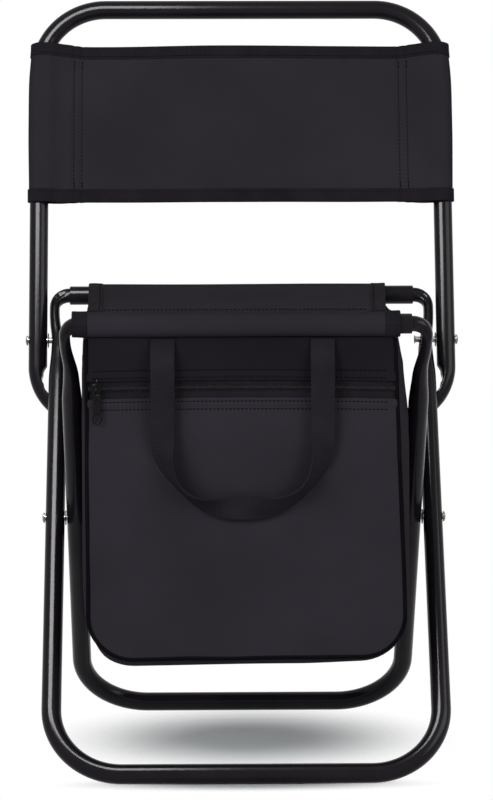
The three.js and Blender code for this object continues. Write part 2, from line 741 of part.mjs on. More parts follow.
const sewn = addGroup(stool, [clothShift, 0, 0]);
const seatHalf = seatWidth / 2;
const bindingLift = clothThickness + touchGap;
const bindingInner = seatHalf - seatBindingWidth;
addMesh(sewn, 'seat_panel', seatStrip(-seatHalf, seatHalf, 0, clothThickness), cloth);
addMesh(sewn, 'seat_binding_left', seatStrip(-seatHalf, -bindingInner, bindingLift, bindingThickness), tape);
addMesh(sewn, 'seat_binding_right', seatStrip(bindingInner, seatHalf, bindingLift, bindingThickness), tape);

const upperPanel = uprightPlate(panelShape(zipTop, bagTop), panelThickness, -seatHalfDepth);
const frontPanel = uprightPlate(panelShape(bagBottomHeight, zipBottom), panelThickness, -seatHalfDepth);
const backPanel = uprightPlate(panelShape(bagBottomHeight, bagTop), panelThickness, 0);
addMesh(sewn, 'bag_upper_panel', upperPanel, cloth);
addMesh(sewn, 'bag_front_panel', frontPanel, cloth);
addMesh(sewn, 'bag_back_panel', slopeToBack(backPanel), cloth);
addMesh(sewn, 'bag_piping_front', pipingCord().translate(0, -seatHalfDepth, 0), tape);
addMesh(sewn, 'bag_piping_back', slopeToBack(pipingCord()), tape);
addMesh(sewn, 'bag_gusset', gusset(), cloth);
addMesh(sewn, 'bag_lining', lining(), foam);
addMesh(sewn, 'zip_tape_upper', zipTape(upperTapeBottom), tape);
addMesh(sewn, 'zip_tape_lower', zipTape(lowerTapeBottom), tape);
addMesh(sewn, 'zip_coil', zipCoil(), zipPlastic);
addMesh(sewn, 'carry_handle', carryHandle(), tape);

const pull = addGroup(sewn, [zipEndInset + sliderLength / 2 - bagHalfWidth, 0, 0]);
addMesh(pull, 'zip_slider', zipSlider(), zipPlastic);
addMesh(pull, 'zip_puller', zipPuller(), zipPlastic);

export default stool;
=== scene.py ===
# %% [markdown]
# # Dressing a folding cooler stool
# The stool is two crossed U frames of black tube, a folding backrest with a cloth band, a cloth seat
# between two bars and a sewn cooler bag that hangs under the seat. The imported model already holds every
# piece at its real size. This lesson loads it as a fixed frame and models the finished look around it:
# bent and crushed tube, woven cloth, tape, stitches and a zip.

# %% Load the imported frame
import json
import math

import bpy
from mathutils import Matrix, Vector, noise


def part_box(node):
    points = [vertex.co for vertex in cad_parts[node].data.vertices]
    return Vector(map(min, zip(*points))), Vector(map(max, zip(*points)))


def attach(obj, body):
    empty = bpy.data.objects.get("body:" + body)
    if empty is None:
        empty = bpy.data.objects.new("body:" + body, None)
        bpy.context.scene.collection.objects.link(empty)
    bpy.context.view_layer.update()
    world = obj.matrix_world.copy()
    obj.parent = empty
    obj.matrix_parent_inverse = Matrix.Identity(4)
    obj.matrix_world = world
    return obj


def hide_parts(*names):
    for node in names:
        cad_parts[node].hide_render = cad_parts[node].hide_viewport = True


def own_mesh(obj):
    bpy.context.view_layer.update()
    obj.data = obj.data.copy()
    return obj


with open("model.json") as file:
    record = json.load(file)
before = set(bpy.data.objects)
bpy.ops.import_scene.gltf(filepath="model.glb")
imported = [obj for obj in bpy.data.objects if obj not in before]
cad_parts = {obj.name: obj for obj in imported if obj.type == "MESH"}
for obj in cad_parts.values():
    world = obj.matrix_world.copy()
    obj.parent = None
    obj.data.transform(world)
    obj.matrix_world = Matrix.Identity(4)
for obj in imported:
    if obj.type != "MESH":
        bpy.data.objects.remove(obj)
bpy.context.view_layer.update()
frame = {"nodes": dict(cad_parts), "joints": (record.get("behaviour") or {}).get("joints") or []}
MM = 0.001
ACROSS = Vector((1, 0, 0))

# %% [markdown]
# ## Driving places
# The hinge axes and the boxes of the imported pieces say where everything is, so no place has to be
# measured twice. A few real sizes, such as the tube's radius and its bends, are named here.

# %% Places read from the frame
joints = {joint["name"]: joint for joint in frame["joints"]}


def middle(node):
    low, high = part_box(node)
    return (low + high) / 2


TUBE_RADIUS = 8 * MM
NECK_RADIUS = 6.2 * MM
LEG_SETBACK = 8.8 * MM
FLOOR_BEND = 57 * MM
SPIGOT_LENGTH = 26 * MM
BAR_GAP = 0.3 * MM

front_bar = Vector(joints["bag_hang"]["pos_m"])
rear_bar = middle("rear_seat_bar")
front_floor = Vector((0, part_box("front_leg_tube")[0].y + TUBE_RADIUS, TUBE_RADIUS))
rear_floor = Vector((0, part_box("rear_leg_tube")[1].y - TUBE_RADIUS, TUBE_RADIUS))
front_leg_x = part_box("rear_seat_bar")[1].x + LEG_SETBACK
rear_leg_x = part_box("front_seat_bar")[1].x + LEG_SETBACK
backrest_pivot = Vector(joints["backrest_fold"]["pos_m"])
backrest_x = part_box("backrest_tube")[1].x - TUBE_RADIUS
backrest_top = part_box("backrest_tube")[1] - Vector((0, TUBE_RADIUS, TUBE_RADIUS))
backrest_up = (backrest_top - backrest_pivot) * Vector((0, 1, 1))
backrest_rise = backrest_up.length
backrest_up.normalize()
backrest_back = backrest_up.cross(ACROSS)
print("legs at x", round(front_leg_x, 4), round(rear_leg_x, 4), "backrest at x", round(backrest_x, 4))

# %% [markdown]
# ## Camera
# The photograph was taken from the front, a little left of the middle and slightly above the seat, with
# a long lens. Those angles are set straight into the camera's matrix: its right, up and backward axes.

# %% Camera
FOCAL_PIXELS = 3335.5
LONG_SIDE_PIXELS = 800
CAMERA_PLACE = Vector((-0.04096, -2.77217, 0.61755))
CAMERA_YAW = math.radians(0.901)
CAMERA_PITCH = math.radians(6.80)
CAMERA_ROLL = math.radians(-0.088)


def add_camera():
    level = math.cos(CAMERA_PITCH)
    forward = Vector((math.sin(CAMERA_YAW) * level, math.cos(CAMERA_YAW) * level, -math.sin(CAMERA_PITCH)))
    right = Vector((math.cos(CAMERA_YAW), -math.sin(CAMERA_YAW), 0))
    up = right.cross(forward)
    right, up = (
        right * math.cos(CAMERA_ROLL) + up * math.sin(CAMERA_ROLL),
        up * math.cos(CAMERA_ROLL) - right * math.sin(CAMERA_ROLL),
    )
    bpy.ops.object.camera_add()
    camera = bpy.context.active_object
    turned = Matrix((right, up, -forward)).transposed()
    camera.matrix_world = Matrix.Translation(CAMERA_PLACE) @ turned.to_4x4()
    camera.data.sensor_width = 36
    camera.data.lens = FOCAL_PIXELS * camera.data.sensor_width / LONG_SIDE_PIXELS
    bpy.context.scene.camera = camera
    return camera


print("lens", round(add_camera().data.lens, 1), "mm")

# %% [markdown]
# ## Studio
# A white world, soft lamps in front and behind, and a floor that shows the stool's shadow and lets the
# white through elsewhere, so nothing is cut off when a frame swings below it. A lamp's level is how bright
# a white card that faces it would be, so that a colour renders about as it is written. Two panels, one
# close by at the upper left and one at the right, add the crisp lines on the gloss paint. They light
# nothing else, because matt cloth would turn pale.

# %% World, floor and lamps
AMBIENT_LEVEL = 0.30
FLOOR_COLOUR = (0.86, 0.87, 0.88, 1)
# Painted shadow: the darker floor colour shown in the spots; the lamps' real shadow falls on it too.
SHADOW_COLOUR = (0.56, 0.585, 0.60, 1)
AIM = Vector((0, 0, 0.3))


def seen_directly(tree):
    """A value of 1 for camera, glossy and transmission rays, and 0 for the rest."""
    path = tree.nodes.new("ShaderNodeLightPath")
    total = path.outputs["Is Camera Ray"]
    for ray in ("Is Glossy Ray", "Is Transmission Ray"):
        both = tree.nodes.new("ShaderNodeMath")
        both.operation = "MAXIMUM"
        tree.links.new(total, both.inputs[0])
        tree.links.new(path.outputs[ray], both.inputs[1])
        total = both.outputs[0]
    return total


def make_world():
    world = bpy.data.worlds.new("white_studio")
    bpy.context.scene.world = world
    world.use_nodes = True
    tree = world.node_tree
    ambient = tree.nodes["Background"]
    ambient.inputs["Color"].default_value = (1, 1, 1, 1)
    ambient.inputs["Strength"].default_value = AMBIENT_LEVEL
    white = tree.nodes.new("ShaderNodeBackground")
    white.inputs["Color"].default_value = (1, 1, 1, 1)
    white.inputs["Strength"].default_value = 1
    mix = tree.nodes.new("ShaderNodeMixShader")
    tree.links.new(seen_directly(tree), mix.inputs["Fac"])
    tree.links.new(ambient.outputs[0], mix.inputs[1])
    tree.links.new(white.outputs[0], mix.inputs[2])
    tree.links.new(mix.outputs[0], tree.nodes["World Output"].inputs["Surface"])


def soft_spot(tree, centre, half_x, half_y):
    """A value of 1 in the middle of an ellipse on the floor that fades to 0 at its rim."""
    inside = tree.nodes.new("ShaderNodeMapping")
    inside.vector_type = "TEXTURE"
    inside.inputs["Location"].default_value = centre
    inside.inputs["Scale"].default_value = (half_x, half_y, 1)
    tree.links.new(tree.nodes.new("ShaderNodeTexCoord").outputs["Object"], inside.inputs["Vector"])
    length = tree.nodes.new("ShaderNodeVectorMath")
    length.operation = "LENGTH"
    tree.links.new(inside.outputs["Vector"], length.inputs[0])
    fade = tree.nodes.new("ShaderNodeMapRange")
    fade.interpolation_type = "SMOOTHSTEP"
    fade.inputs["From Min"].default_value = 0.2
    fade.inputs["To Min"].default_value = 1
    fade.inputs["To Max"].default_value = 0
    tree.links.new(length.outputs["Value"], fade.inputs["Value"])
    return fade.outputs["Result"]


def matt(tree, colour):
    shader = tree.nodes.new("ShaderNodeBsdfDiffuse")
    shader.inputs["Color"].default_value = colour
    return shader.outputs[0]


def blended(tree, share, first, second):
    mix = tree.nodes.new("ShaderNodeMixShader")
    tree.links.new(share, mix.inputs["Fac"])
    tree.links.new(first, mix.inputs[1])
    tree.links.new(second, mix.inputs[2])
    return mix.outputs[0]


def make_floor():
    """Floor with two painted shadow spots, under the stool and along its front bar, and clear elsewhere; in
    the spots a darker matt colour also takes the real shadow.
    """
    bpy.ops.mesh.primitive_plane_add(size=40)
    floor = bpy.context.active_object
    floor.name = "floor"
    material = bpy.data.materials.new("white_floor")
    material.use_nodes = True
    tree = material.node_tree
    tree.nodes.remove(tree.nodes["Principled BSDF"])
    clear = tree.nodes.new("ShaderNodeBsdfTransparent")
    under = soft_spot(tree, (0.004, -0.006, 0), 0.185, 0.145)
    along_front = soft_spot(tree, (0, -0.174, 0), 0.165, 0.028)
    shown = blended(tree, along_front, clear.outputs[0], matt(tree, SHADOW_COLOUR))
    shown = blended(tree, under, shown, matt(tree, SHADOW_COLOUR))
    surface = blended(tree, seen_directly(tree), matt(tree, FLOOR_COLOUR), shown)
    tree.links.new(surface, tree.nodes["Material Output"].inputs["Surface"])
    floor.data.materials.append(material)


def lamp(name, place, width, height, level, only_gloss=False, aim=AIM):
    place = Vector(place)
    bpy.ops.object.light_add(type="AREA", location=place)
    light = bpy.context.active_object
    light.name = name
    light.rotation_euler = (Vector(aim) - place).to_track_quat("-Z", "Y").to_euler()
    light.data.shape = "RECTANGLE"
    light.data.size = width
    light.data.size_y = height
    light.data.energy = level * (math.pi * (Vector(aim) - place).length) ** 2
    light.visible_camera = False
    light.visible_diffuse = not only_gloss
    light.visible_glossy = only_gloss


make_world()
make_floor()
lamp("front_left_box", (-1.7, -2.3, 1.5), 1.4, 1.4, 0.52)
lamp("front_right_box", (1.8, -2.2, 1.3), 1.4, 1.4, 0.34)
lamp("back_box", (0.6, 2.6, 1.7), 1.6, 1.6, 0.14)
lamp("left_panel", (-0.46, -0.55, 1.12), 0.8, 0.5, 6.4, only_gloss=True, aim=(-0.46, 0, 0.3))
lamp("right_panel", (2.2, -1.2, 1.6), 2.0, 1.6, 0.72, only_gloss=True)
bpy.context.scene.view_settings.view_transform = "Standard"

# %% [markdown]
# ## Finishes
# Each finish is a Principled shader with a little life in it: gloss paint over steel has a faint orange
# peel, plated rivets are slightly scuffed, woven cloth shows its threads. The threads read the UV map,
# which is in metres, and the ribs of tapes read how far along the tape a point is.

# %% Helpers for shader nodes
def new_finish(name, roughness, metallic=0.0, specular=0.5):
    material = bpy.data.materials.new(name)
    material.use_nodes = True
    shader = material.node_tree.nodes["Principled BSDF"]
    shader.inputs["Roughness"].default_value = roughness
    shader.inputs["Metallic"].default_value = metallic
    shader.inputs["Specular IOR Level"].default_value = specular
    return material, material.node_tree, shader


def place_of(tree, kind="Object"):
    return tree.nodes.new("ShaderNodeTexCoord").outputs[kind]


def noise_value(tree, scale, detail=2.0):
    """Noise over the piece, with scale in lumps per metre."""
    texture = tree.nodes.new("ShaderNodeTexNoise")
    texture.inputs["Scale"].default_value = scale
    texture.inputs["Detail"].default_value = detail
    tree.links.new(place_of(tree), texture.inputs["Vector"])
    return texture.outputs["Fac"]


def tint(tree, shader, value, dark, light):
    ramp = tree.nodes.new("ShaderNodeValToRGB")
    ramp.color_ramp.elements[0].position = 0.3
    ramp.color_ramp.elements[1].position = 0.7
    ramp.color_ramp.elements[0].color = (*dark, 1)
    ramp.color_ramp.elements[1].color = (*light, 1)
    tree.links.new(value, ramp.inputs["Fac"])
    tree.links.new(ramp.outputs["Color"], shader.inputs["Base Color"])


def vary_roughness(tree, shader, value, low, high):
    spread = tree.nodes.new("ShaderNodeMapRange")
    spread.inputs["To Min"].default_value = low
    spread.inputs["To Max"].default_value = high
    tree.links.new(value, spread.inputs["Value"])
    tree.links.new(spread.outputs["Result"], shader.inputs["Roughness"])


def emboss(tree, shader, value, strength, depth):
    bump = tree.nodes.new("ShaderNodeBump")
    bump.inputs["Strength"].default_value = strength
    bump.inputs["Distance"].default_value = depth
    tree.links.new(value, bump.inputs["Height"])
    tree.links.new(bump.outputs["Normal"], shader.inputs["Normal"])


def math_node(tree, operation, first, second):
    done = tree.nodes.new("ShaderNodeMath")
    done.operation = operation
    for socket, value in zip(done.inputs, (first, second)):
        if isinstance(value, (int, float)):
            socket.default_value = value
        else:
            tree.links.new(value, socket)
    return done.outputs[0]


def thread_wave(tree, distance, pitch):
    """A sine that repeats every pitch along a distance."""
    turned = math_node(tree, "MULTIPLY", distance, 2 * math.pi / pitch)
    return math_node(tree, "SINE", turned, 0)


# %% [markdown]
# ### Paint, plating and plastic
# Hard finishes differ mostly in how they reflect. The paint is nearly black, so almost everything seen on
# it is reflection, and its roughness decides how crisp the lines of light along the tubes are.

# %% Hard finishes
def gloss_paint():
    material, tree, shader = new_finish("gloss_black_paint", 0.2, specular=0.08)
    tint(tree, shader, noise_value(tree, 30), (0.0076, 0.0060, 0.0085), (0.0106, 0.0086, 0.0117))
    vary_roughness(tree, shader, noise_value(tree, 55, 4), 0.12, 0.22)
    emboss(tree, shader, noise_value(tree, 700), 0.04, 0.1 * MM)
    return material


def plated_steel():
    material, tree, shader = new_finish("nickel_plate", 0.3, metallic=1.0)
    tint(tree, shader, noise_value(tree, 400, 4), (0.11, 0.107, 0.105), (0.22, 0.215, 0.21))
    vary_roughness(tree, shader, noise_value(tree, 900, 4), 0.22, 0.45)
    emboss(tree, shader, noise_value(tree, 1500), 0.12, 0.1 * MM)
    return material


def black_plastic(name, dark, light):
    material, tree, shader = new_finish(name, 0.4, specular=0.09)
    tint(tree, shader, noise_value(tree, 300), dark, light)
    vary_roughness(tree, shader, noise_value(tree, 800, 3), 0.18, 0.36)
    emboss(tree, shader, noise_value(tree, 2500), 0.1, 0.05 * MM)
    return material


paint = gloss_paint()
nickel = plated_steel()
zip_black = black_plastic("zip_black", (0.0024, 0.0021, 0.0027), (0.0046, 0.0041, 0.0050))
nylon = black_plastic("nylon_teeth", (0.0100, 0.0090, 0.0110), (0.0160, 0.0146, 0.0174))
print("hard finishes:", paint.name, nickel.name, zip_black.name, nylon.name)

# %% [markdown]
# ### Cloth, tape, thread and lining
# A plain weave is two sine waves multiplied: where both threads swell, the cloth stands a little higher.
# The strip above the zip is a darker copy of the cloth, painted shade under the seat bar. Tape and webbing
# have ribs across their length instead. The lining is a crinkled silvery film.

# %% Soft finishes
WEAVE_PITCH = 0.9 * MM
RIB_PITCH = 1.5 * MM


def woven_cloth(name, dark, light):
    material, tree, shader = new_finish(name, 0.82, specular=0.004)
    split = tree.nodes.new("ShaderNodeSeparateXYZ")
    tree.links.new(place_of(tree, "UV"), split.inputs[0])
    warp = thread_wave(tree, split.outputs["X"], WEAVE_PITCH)
    weft = thread_wave(tree, split.outputs["Y"], WEAVE_PITCH)
    emboss(tree, shader, math_node(tree, "MULTIPLY", warp, weft), 0.35, 0.12 * MM)
    tint(tree, shader, noise_value(tree, 14, 4), dark, light)
    vary_roughness(tree, shader, noise_value(tree, 60, 3), 0.72, 0.9)
    return material


def ribbed_tape(name, dark, light, strength):
    """Tape whose ribs follow the attribute that says how far along the tape a point is."""
    material, tree, shader = new_finish(name, 0.85, specular=0.012)
    along = tree.nodes.new("ShaderNodeAttribute")
    along.attribute_name = "along"
    emboss(tree, shader, thread_wave(tree, along.outputs["Fac"], RIB_PITCH), strength, 0.25 * MM)
    tint(tree, shader, noise_value(tree, 40, 4), dark, light)
    vary_roughness(tree, shader, noise_value(tree, 200, 2), 0.75, 0.95)
    return material


def twisted_thread():
    material, tree, shader = new_finish("black_thread", 0.7, specular=0.01)
    tint(tree, shader, noise_value(tree, 2000, 2), (0.0016, 0.0014, 0.0018), (0.0044, 0.0039, 0.0048))
    emboss(tree, shader, noise_value(tree, 3000), 0.4, 0.1 * MM)
    return material


def silver_film():
    material, tree, shader = new_finish("silver_lining", 0.35, metallic=0.7)
    crinkle = tree.nodes.new("ShaderNodeTexVoronoi")
    crinkle.inputs["Scale"].default_value = 220
    tree.links.new(place_of(tree), crinkle.inputs["Vector"])
    emboss(tree, shader, crinkle.outputs["Distance"], 0.5, 0.4 * MM)
    tint(tree, shader, noise_value(tree, 90, 3), (0.42, 0.43, 0.45), (0.62, 0.63, 0.65))
    return material


cloth = woven_cloth("black_polyester", (0.0224, 0.0195, 0.0255), (0.0269, 0.0238, 0.0307))
# Painted shade: a darker copy of the cloth for the strip above the zip, standing in for the shade under the
# seat bar.
shaded_cloth = woven_cloth("shaded_black_polyester", (0.0110, 0.0094, 0.0123), (0.0137, 0.0120, 0.0153))
tape = ribbed_tape("binding_tape", (0.0110, 0.0094, 0.0124), (0.0154, 0.0135, 0.0172), 0.5)
webbing = ribbed_tape("handle_webbing", (0.0130, 0.0115, 0.0147), (0.0186, 0.0166, 0.0207), 0.7)
cord = ribbed_tape("piping_cord", (0.0028, 0.0023, 0.0032), (0.0044, 0.0037, 0.0049), 0.3)
thread = twisted_thread()
lining_film = silver_film()
print("soft finishes:", cloth.name, tape.name, webbing.name, thread.name, lining_film.name)

# %% [markdown]
# ## Tools for the bench
# Most pieces here are something fed along a path: tube through a bender, cloth off a roll, tape round an
# edge. `Bender` does that with Extrude for straights and Spin for bends, from a ring of points for a tube
# or from a single point for the edge of a sheet. With no window, Spin turns the other way, so its axis
# is given reversed.

# %% Selecting and finishing
SOFT_EDGE = 0.3 * MM


def put_down():
    """Go back to object mode with nothing selected."""
    if bpy.context.object and bpy.context.object.mode != "OBJECT":
        bpy.ops.object.mode_set(mode="OBJECT")
    bpy.ops.object.select_all(action="DESELECT")


def pick_up(piece, mode="OBJECT"):
    put_down()
    piece.select_set(True)
    bpy.context.view_layer.objects.active = piece
    bpy.ops.object.mode_set(mode=mode)


def name_new(name):
    piece = bpy.context.active_object
    piece.name = name
    piece.data.name = name
    bpy.ops.object.transform_apply(location=True, rotation=True, scale=True)
    return piece


def join(pieces, name):
    """Make one piece of several; the first one stays."""
    put_down()
    for piece in pieces:
        piece.select_set(True)
    joined = pieces[0]
    bpy.context.view_layer.objects.active = joined
    bpy.ops.object.join()
    joined.name = name
    joined.data.name = name
    return joined


def modify(piece, kind, **settings):
    pick_up(piece)
    modifier = piece.modifiers.new(kind.title(), kind)
    for key, value in settings.items():
        setattr(modifier, key, value)
    bpy.ops.object.modifier_apply(modifier=modifier.name)


def tidy_mesh(piece, sharp=40):
    """Merge doubles, point the faces outwards, lay out the UV map in metres and smooth the shading."""
    pick_up(piece, "EDIT")
    bpy.ops.mesh.select_all(action="SELECT")
    bpy.ops.mesh.remove_doubles(threshold=0.005 * MM)
    bpy.ops.mesh.normals_make_consistent(inside=False)
    bpy.ops.uv.cube_project(cube_size=1.0, scale_to_bounds=False)
    bpy.ops.object.mode_set(mode="OBJECT")
    bpy.ops.object.shade_smooth_by_angle(angle=math.radians(sharp))


def thicken(piece, thickness, edge=0.0, offset=0.0):
    """Give a sheet its thickness, with its rims rounded by the edge width."""
    modify(piece, "SOLIDIFY", thickness=thickness, offset=offset)
    if edge:
        modify(piece, "BEVEL", width=edge, segments=2, limit_method="ANGLE", angle_limit=math.radians(50))
    pick_up(piece)
    bpy.ops.object.shade_smooth_by_angle(angle=math.radians(50))


def reshape(piece, move):
    """Move every point of a mesh: move gets its place and gives the new one."""
    for vertex in piece.data.vertices:
        vertex.co = move(vertex.co.copy())
    piece.data.update()


def grid_sheet(name, columns, rows, lay, sharp=60):
    """A grid from -0.5 to 0.5 both ways, whose points lay moves into place."""
    put_down()
    bpy.ops.mesh.primitive_grid_add(x_subdivisions=columns, y_subdivisions=rows, size=1)
    piece = name_new(name)
    reshape(piece, lay)
    tidy_mesh(piece, sharp)
    return piece


def mark_along(piece, measure):
    """Store how far along the tape each point lies, for the ribs."""
    values = piece.data.attributes.new("along", "FLOAT", "POINT")
    for vertex, value in zip(piece.data.vertices, values.data):
        value.value = measure(vertex.co)


def dress(piece, body, material, slot, *nodes):
    piece.data.materials.clear()
    piece.data.materials.append(material)
    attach(piece, body)
    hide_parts(*nodes)
    return piece


def smooth_step(value, start, end):
    share = min(1, max(0, (value - start) / (end - start)))
    return share * share * (3 - 2 * share)


# %% The bender
class Bender:
    """Feeds a ring of points, or one point, along straights and left-hand bends about one normal."""

    def __init__(self, name, place, heading, normal, radius=0.0, sides=28):
        put_down()
        self.place = Vector(place)
        self.heading = Vector(heading).normalized()
        self.normal = Vector(normal).normalized()
        self.radius = radius
        self.fed = 0.0
        self.line = [self.place.copy()]
        self.marks = [0.0]
        self.bends = []
        if radius:
            turn = self.heading.to_track_quat("Z", "Y").to_euler()
            bpy.ops.mesh.primitive_circle_add(
                vertices=sides, radius=radius, fill_type="NOTHING", location=self.place, rotation=turn
            )
        else:
            bpy.ops.mesh.primitive_plane_add(size=MM, location=self.place)
        self.piece = name_new(name)
        bpy.ops.object.mode_set(mode="EDIT")
        bpy.ops.mesh.select_mode(type="VERT")
        bpy.ops.mesh.select_all(action="SELECT")
        if not radius:
            bpy.ops.mesh.merge(type="CENTER")

    def note(self, place, length):
        """Write down where the open end is now."""
        self.place = place.copy()
        self.fed += length
        self.line.append(place.copy())
        self.marks.append(self.fed)

    def grow(self, radius):
        """Swell or neck the open ring to a radius."""
        scale = radius / self.radius
        bpy.ops.transform.resize(value=(scale, scale, scale), center_override=tuple(self.place))
        self.radius = radius

    def step(self, move):
        bpy.ops.mesh.extrude_region_move(TRANSFORM_OT_translate={"value": tuple(move)})
        self.note(self.place + move, move.length)

    def feed(self, length, steps=1, radius=None):
        first = self.radius
        for number in range(steps):
            self.step(self.heading * (length / steps))
            if radius:
                self.grow(first + (radius - first) * smooth_step((number + 1) / steps, 0, 1))

    def turn(self, bend_radius, degrees, steps, radius=None):
        """Bend to the left, or to the right where both numbers are negative."""
        angle = math.radians(degrees) / steps
        centre = self.place + self.normal.cross(self.heading) * bend_radius
        first, began = self.radius, self.fed
        for number in range(steps):
            bpy.ops.mesh.spin(steps=1, angle=angle, center=tuple(centre), axis=tuple(-self.normal))
            spoke = Matrix.Rotation(angle, 3, self.normal) @ (self.place - centre)
            self.note(centre + spoke, bend_radius * angle)
            if radius:
                self.grow(first + (radius - first) * smooth_step((number + 1) / steps, 0, 1))
        self.bends.append((began, self.fed))
        self.heading = Matrix.Rotation(angle * steps, 3, self.normal) @ self.heading

    def close_end(self):
        bpy.ops.mesh.edge_face_add()

    def widen(self, move, steps):
        """Extrude the drawn path sideways into a sheet."""
        bpy.ops.mesh.select_all(action="SELECT")
        for _ in range(steps):
            bpy.ops.mesh.extrude_region_move(TRANSFORM_OT_translate={"value": tuple(move / steps)})
        put_down()

    def nearest(self, point):
        """Nearest place on the path: its distance along, its point, and the way the path runs there."""
        index = min(range(len(self.line)), key=lambda i: (self.line[i] - point).length_squared)
        before = self.line[max(index - 1, 0)]
        after = self.line[min(index + 1, len(self.line) - 1)]
        return self.marks[index], self.line[index], (after - before).normalized()

    def along(self, point):
        mark, centre, heading = self.nearest(point)
        return mark + (point - centre).dot(heading)

    def press(self, change):
        """Reshape the section: change gets the distance along and a point's inward and flank offsets."""
        for vertex in self.piece.data.vertices:
            mark, centre, heading = self.nearest(vertex.co)
            offset = vertex.co - centre
            inward = self.normal.cross(heading)
            ahead = offset.dot(heading)
            inner, flank = change(mark + ahead, offset.dot(inward), offset.dot(self.normal))
            vertex.co = centre + heading * ahead + inward * inner + self.normal * flank
        self.piece.data.update()


print("bench is ready")

# %% [markdown]
# ## Bent tube frames
# Each leg frame is one U of 16 mm tube. Its ends are necked down, set over by a small jog, bent inwards in
# a tight elbow and pushed into a seat bar. The press leaves the neck flattened and grooves the faces of
# the elbow, so once the tube is bent, the points of its neck are moved.

# %% Leg tubes
ELBOW_RADIUS = 12.5 * MM
ELBOW_STEPS = 18
FLOOR_STEPS = 22
JOG_LENGTH = 44 * MM
NECK_PLAIN = 2 * MM
SWELL_LENGTH = 26 * MM
NECK_FLAT = 0.30
NECK_SPREAD = 0.10
ELBOW_DENT = 0.5 * MM
ELBOW_GROOVE = 2.2 * MM


def flatten_neck(bender, marks):
    """Flatten the tube from the elbow to the end of its neck, and dent the elbow's faces."""
    start, bent, full = marks

    def change(mark, inner, flank):
        mark = min(mark, bender.fed - mark)
        amount = smooth_step(mark, start, bent) * (1 - smooth_step(mark, bent + 4 * MM, full))
        share = min(1, max(0, (mark - start) / (bent - start)))
        wave = max(0, math.sin(2 * math.pi * 5 * share)) * math.sin(math.pi * share)
        face = max(0, 1 - (inner / NECK_RADIUS) ** 2) ** 2
        groove = math.sin(math.pi * share) * face ** 2
        dent = math.copysign(ELBOW_DENT * wave * face + ELBOW_GROOVE * groove, flank)
        return inner * (1 - NECK_FLAT * amount), flank * (1 + NECK_SPREAD * amount) - dent

    bender.press(change)


def leg_tube(name, body, floor_bar, seat_bar, leg_x):
    up = (seat_bar - floor_bar).normalized()
    leg_length = (seat_bar - floor_bar).length
    jog = ELBOW_RADIUS - LEG_SETBACK + BAR_GAP
    jog_angle = 2 * math.atan(jog / JOG_LENGTH)
    jog_radius = JOG_LENGTH / 2 / math.sin(jog_angle)
    jog_degrees = math.degrees(jog_angle)
    straight = leg_length - ELBOW_RADIUS - NECK_PLAIN - JOG_LENGTH - SWELL_LENGTH - FLOOR_BEND
    middle_radius = (NECK_RADIUS + TUBE_RADIUS) / 2
    start = seat_bar - ACROSS * (leg_x - LEG_SETBACK + BAR_GAP - SPIGOT_LENGTH)
    bender = Bender(name, start, -ACROSS, ACROSS.cross(up), NECK_RADIUS)
    bender.close_end()
    bender.feed(SPIGOT_LENGTH, 2)
    bender.turn(ELBOW_RADIUS, 90, ELBOW_STEPS)
    bender.feed(NECK_PLAIN)
    bender.turn(jog_radius, jog_degrees, 7)
    bender.turn(-jog_radius, -jog_degrees, 7, middle_radius)
    bender.feed(SWELL_LENGTH, 6, TUBE_RADIUS)
    necked = bender.fed
    bender.feed(straight, 8)
    bender.turn(FLOOR_BEND, 90, FLOOR_STEPS)
    bender.feed(2 * (leg_x - FLOOR_BEND), 6)
    bender.turn(FLOOR_BEND, 90, FLOOR_STEPS)
    bender.feed(straight, 8)
    bender.feed(SWELL_LENGTH, 6, middle_radius)
    bender.turn(-jog_radius, -jog_degrees, 7, NECK_RADIUS)
    bender.turn(jog_radius, jog_degrees, 7)
    bender.feed(NECK_PLAIN)
    bender.turn(ELBOW_RADIUS, 90, ELBOW_STEPS)
    bender.feed(SPIGOT_LENGTH, 2)
    bender.close_end()
    tidy_mesh(bender.piece)
    flatten_neck(bender, (*bender.bends[0], necked))
    return dress(bender.piece, body, paint, "black_paint", name.removesuffix("_painted"))


front_tube = leg_tube("front_leg_tube_painted", "front_leg_frame", front_floor, rear_bar, front_leg_x)
rear_tube = leg_tube("rear_leg_tube_painted", "rear_leg_frame", rear_floor, front_bar, rear_leg_x)
print("leg tubes:", len(front_tube.data.polygons), len(rear_tube.data.polygons), "faces")

# %% [markdown]
# ## Backrest loop
# The backrest is a closed loop: wide bends at the top, tighter ones at the bottom, where the wall inside
# the bend has collapsed into small folds. The loop is fed from the middle of its lower crossbar all the
# way round, and its ends are merged.

# %% Backrest tube
BACKREST_TOP_BEND = 57 * MM
BACKREST_LOW_BEND = 45 * MM
CROSSBAR_DROP = 67.9 * MM
LOW_STEPS = 44
CRUSH = 7.2 * MM
CRUSH_FOLD = 0.9 * MM
CRUSH_FOLDS = 8


def crush_corners(bender, corners):
    """Push the wall inside a bend outwards and fold it, as cold bending does."""

    def change(mark, inner, flank):
        for side_end, bar_end in corners:
            share = (mark - side_end) / (bar_end - side_end)
            if not 0 < share < 1:
                continue
            inside = max(0, inner / TUBE_RADIUS) ** 1.4
            fold = 2 * abs(math.sin(math.pi * CRUSH_FOLDS * share)) - 1
            inner -= math.sin(math.pi * share ** 0.68) ** 1.5 * inside * (CRUSH + CRUSH_FOLD * fold)
        return inner, flank

    bender.press(change)


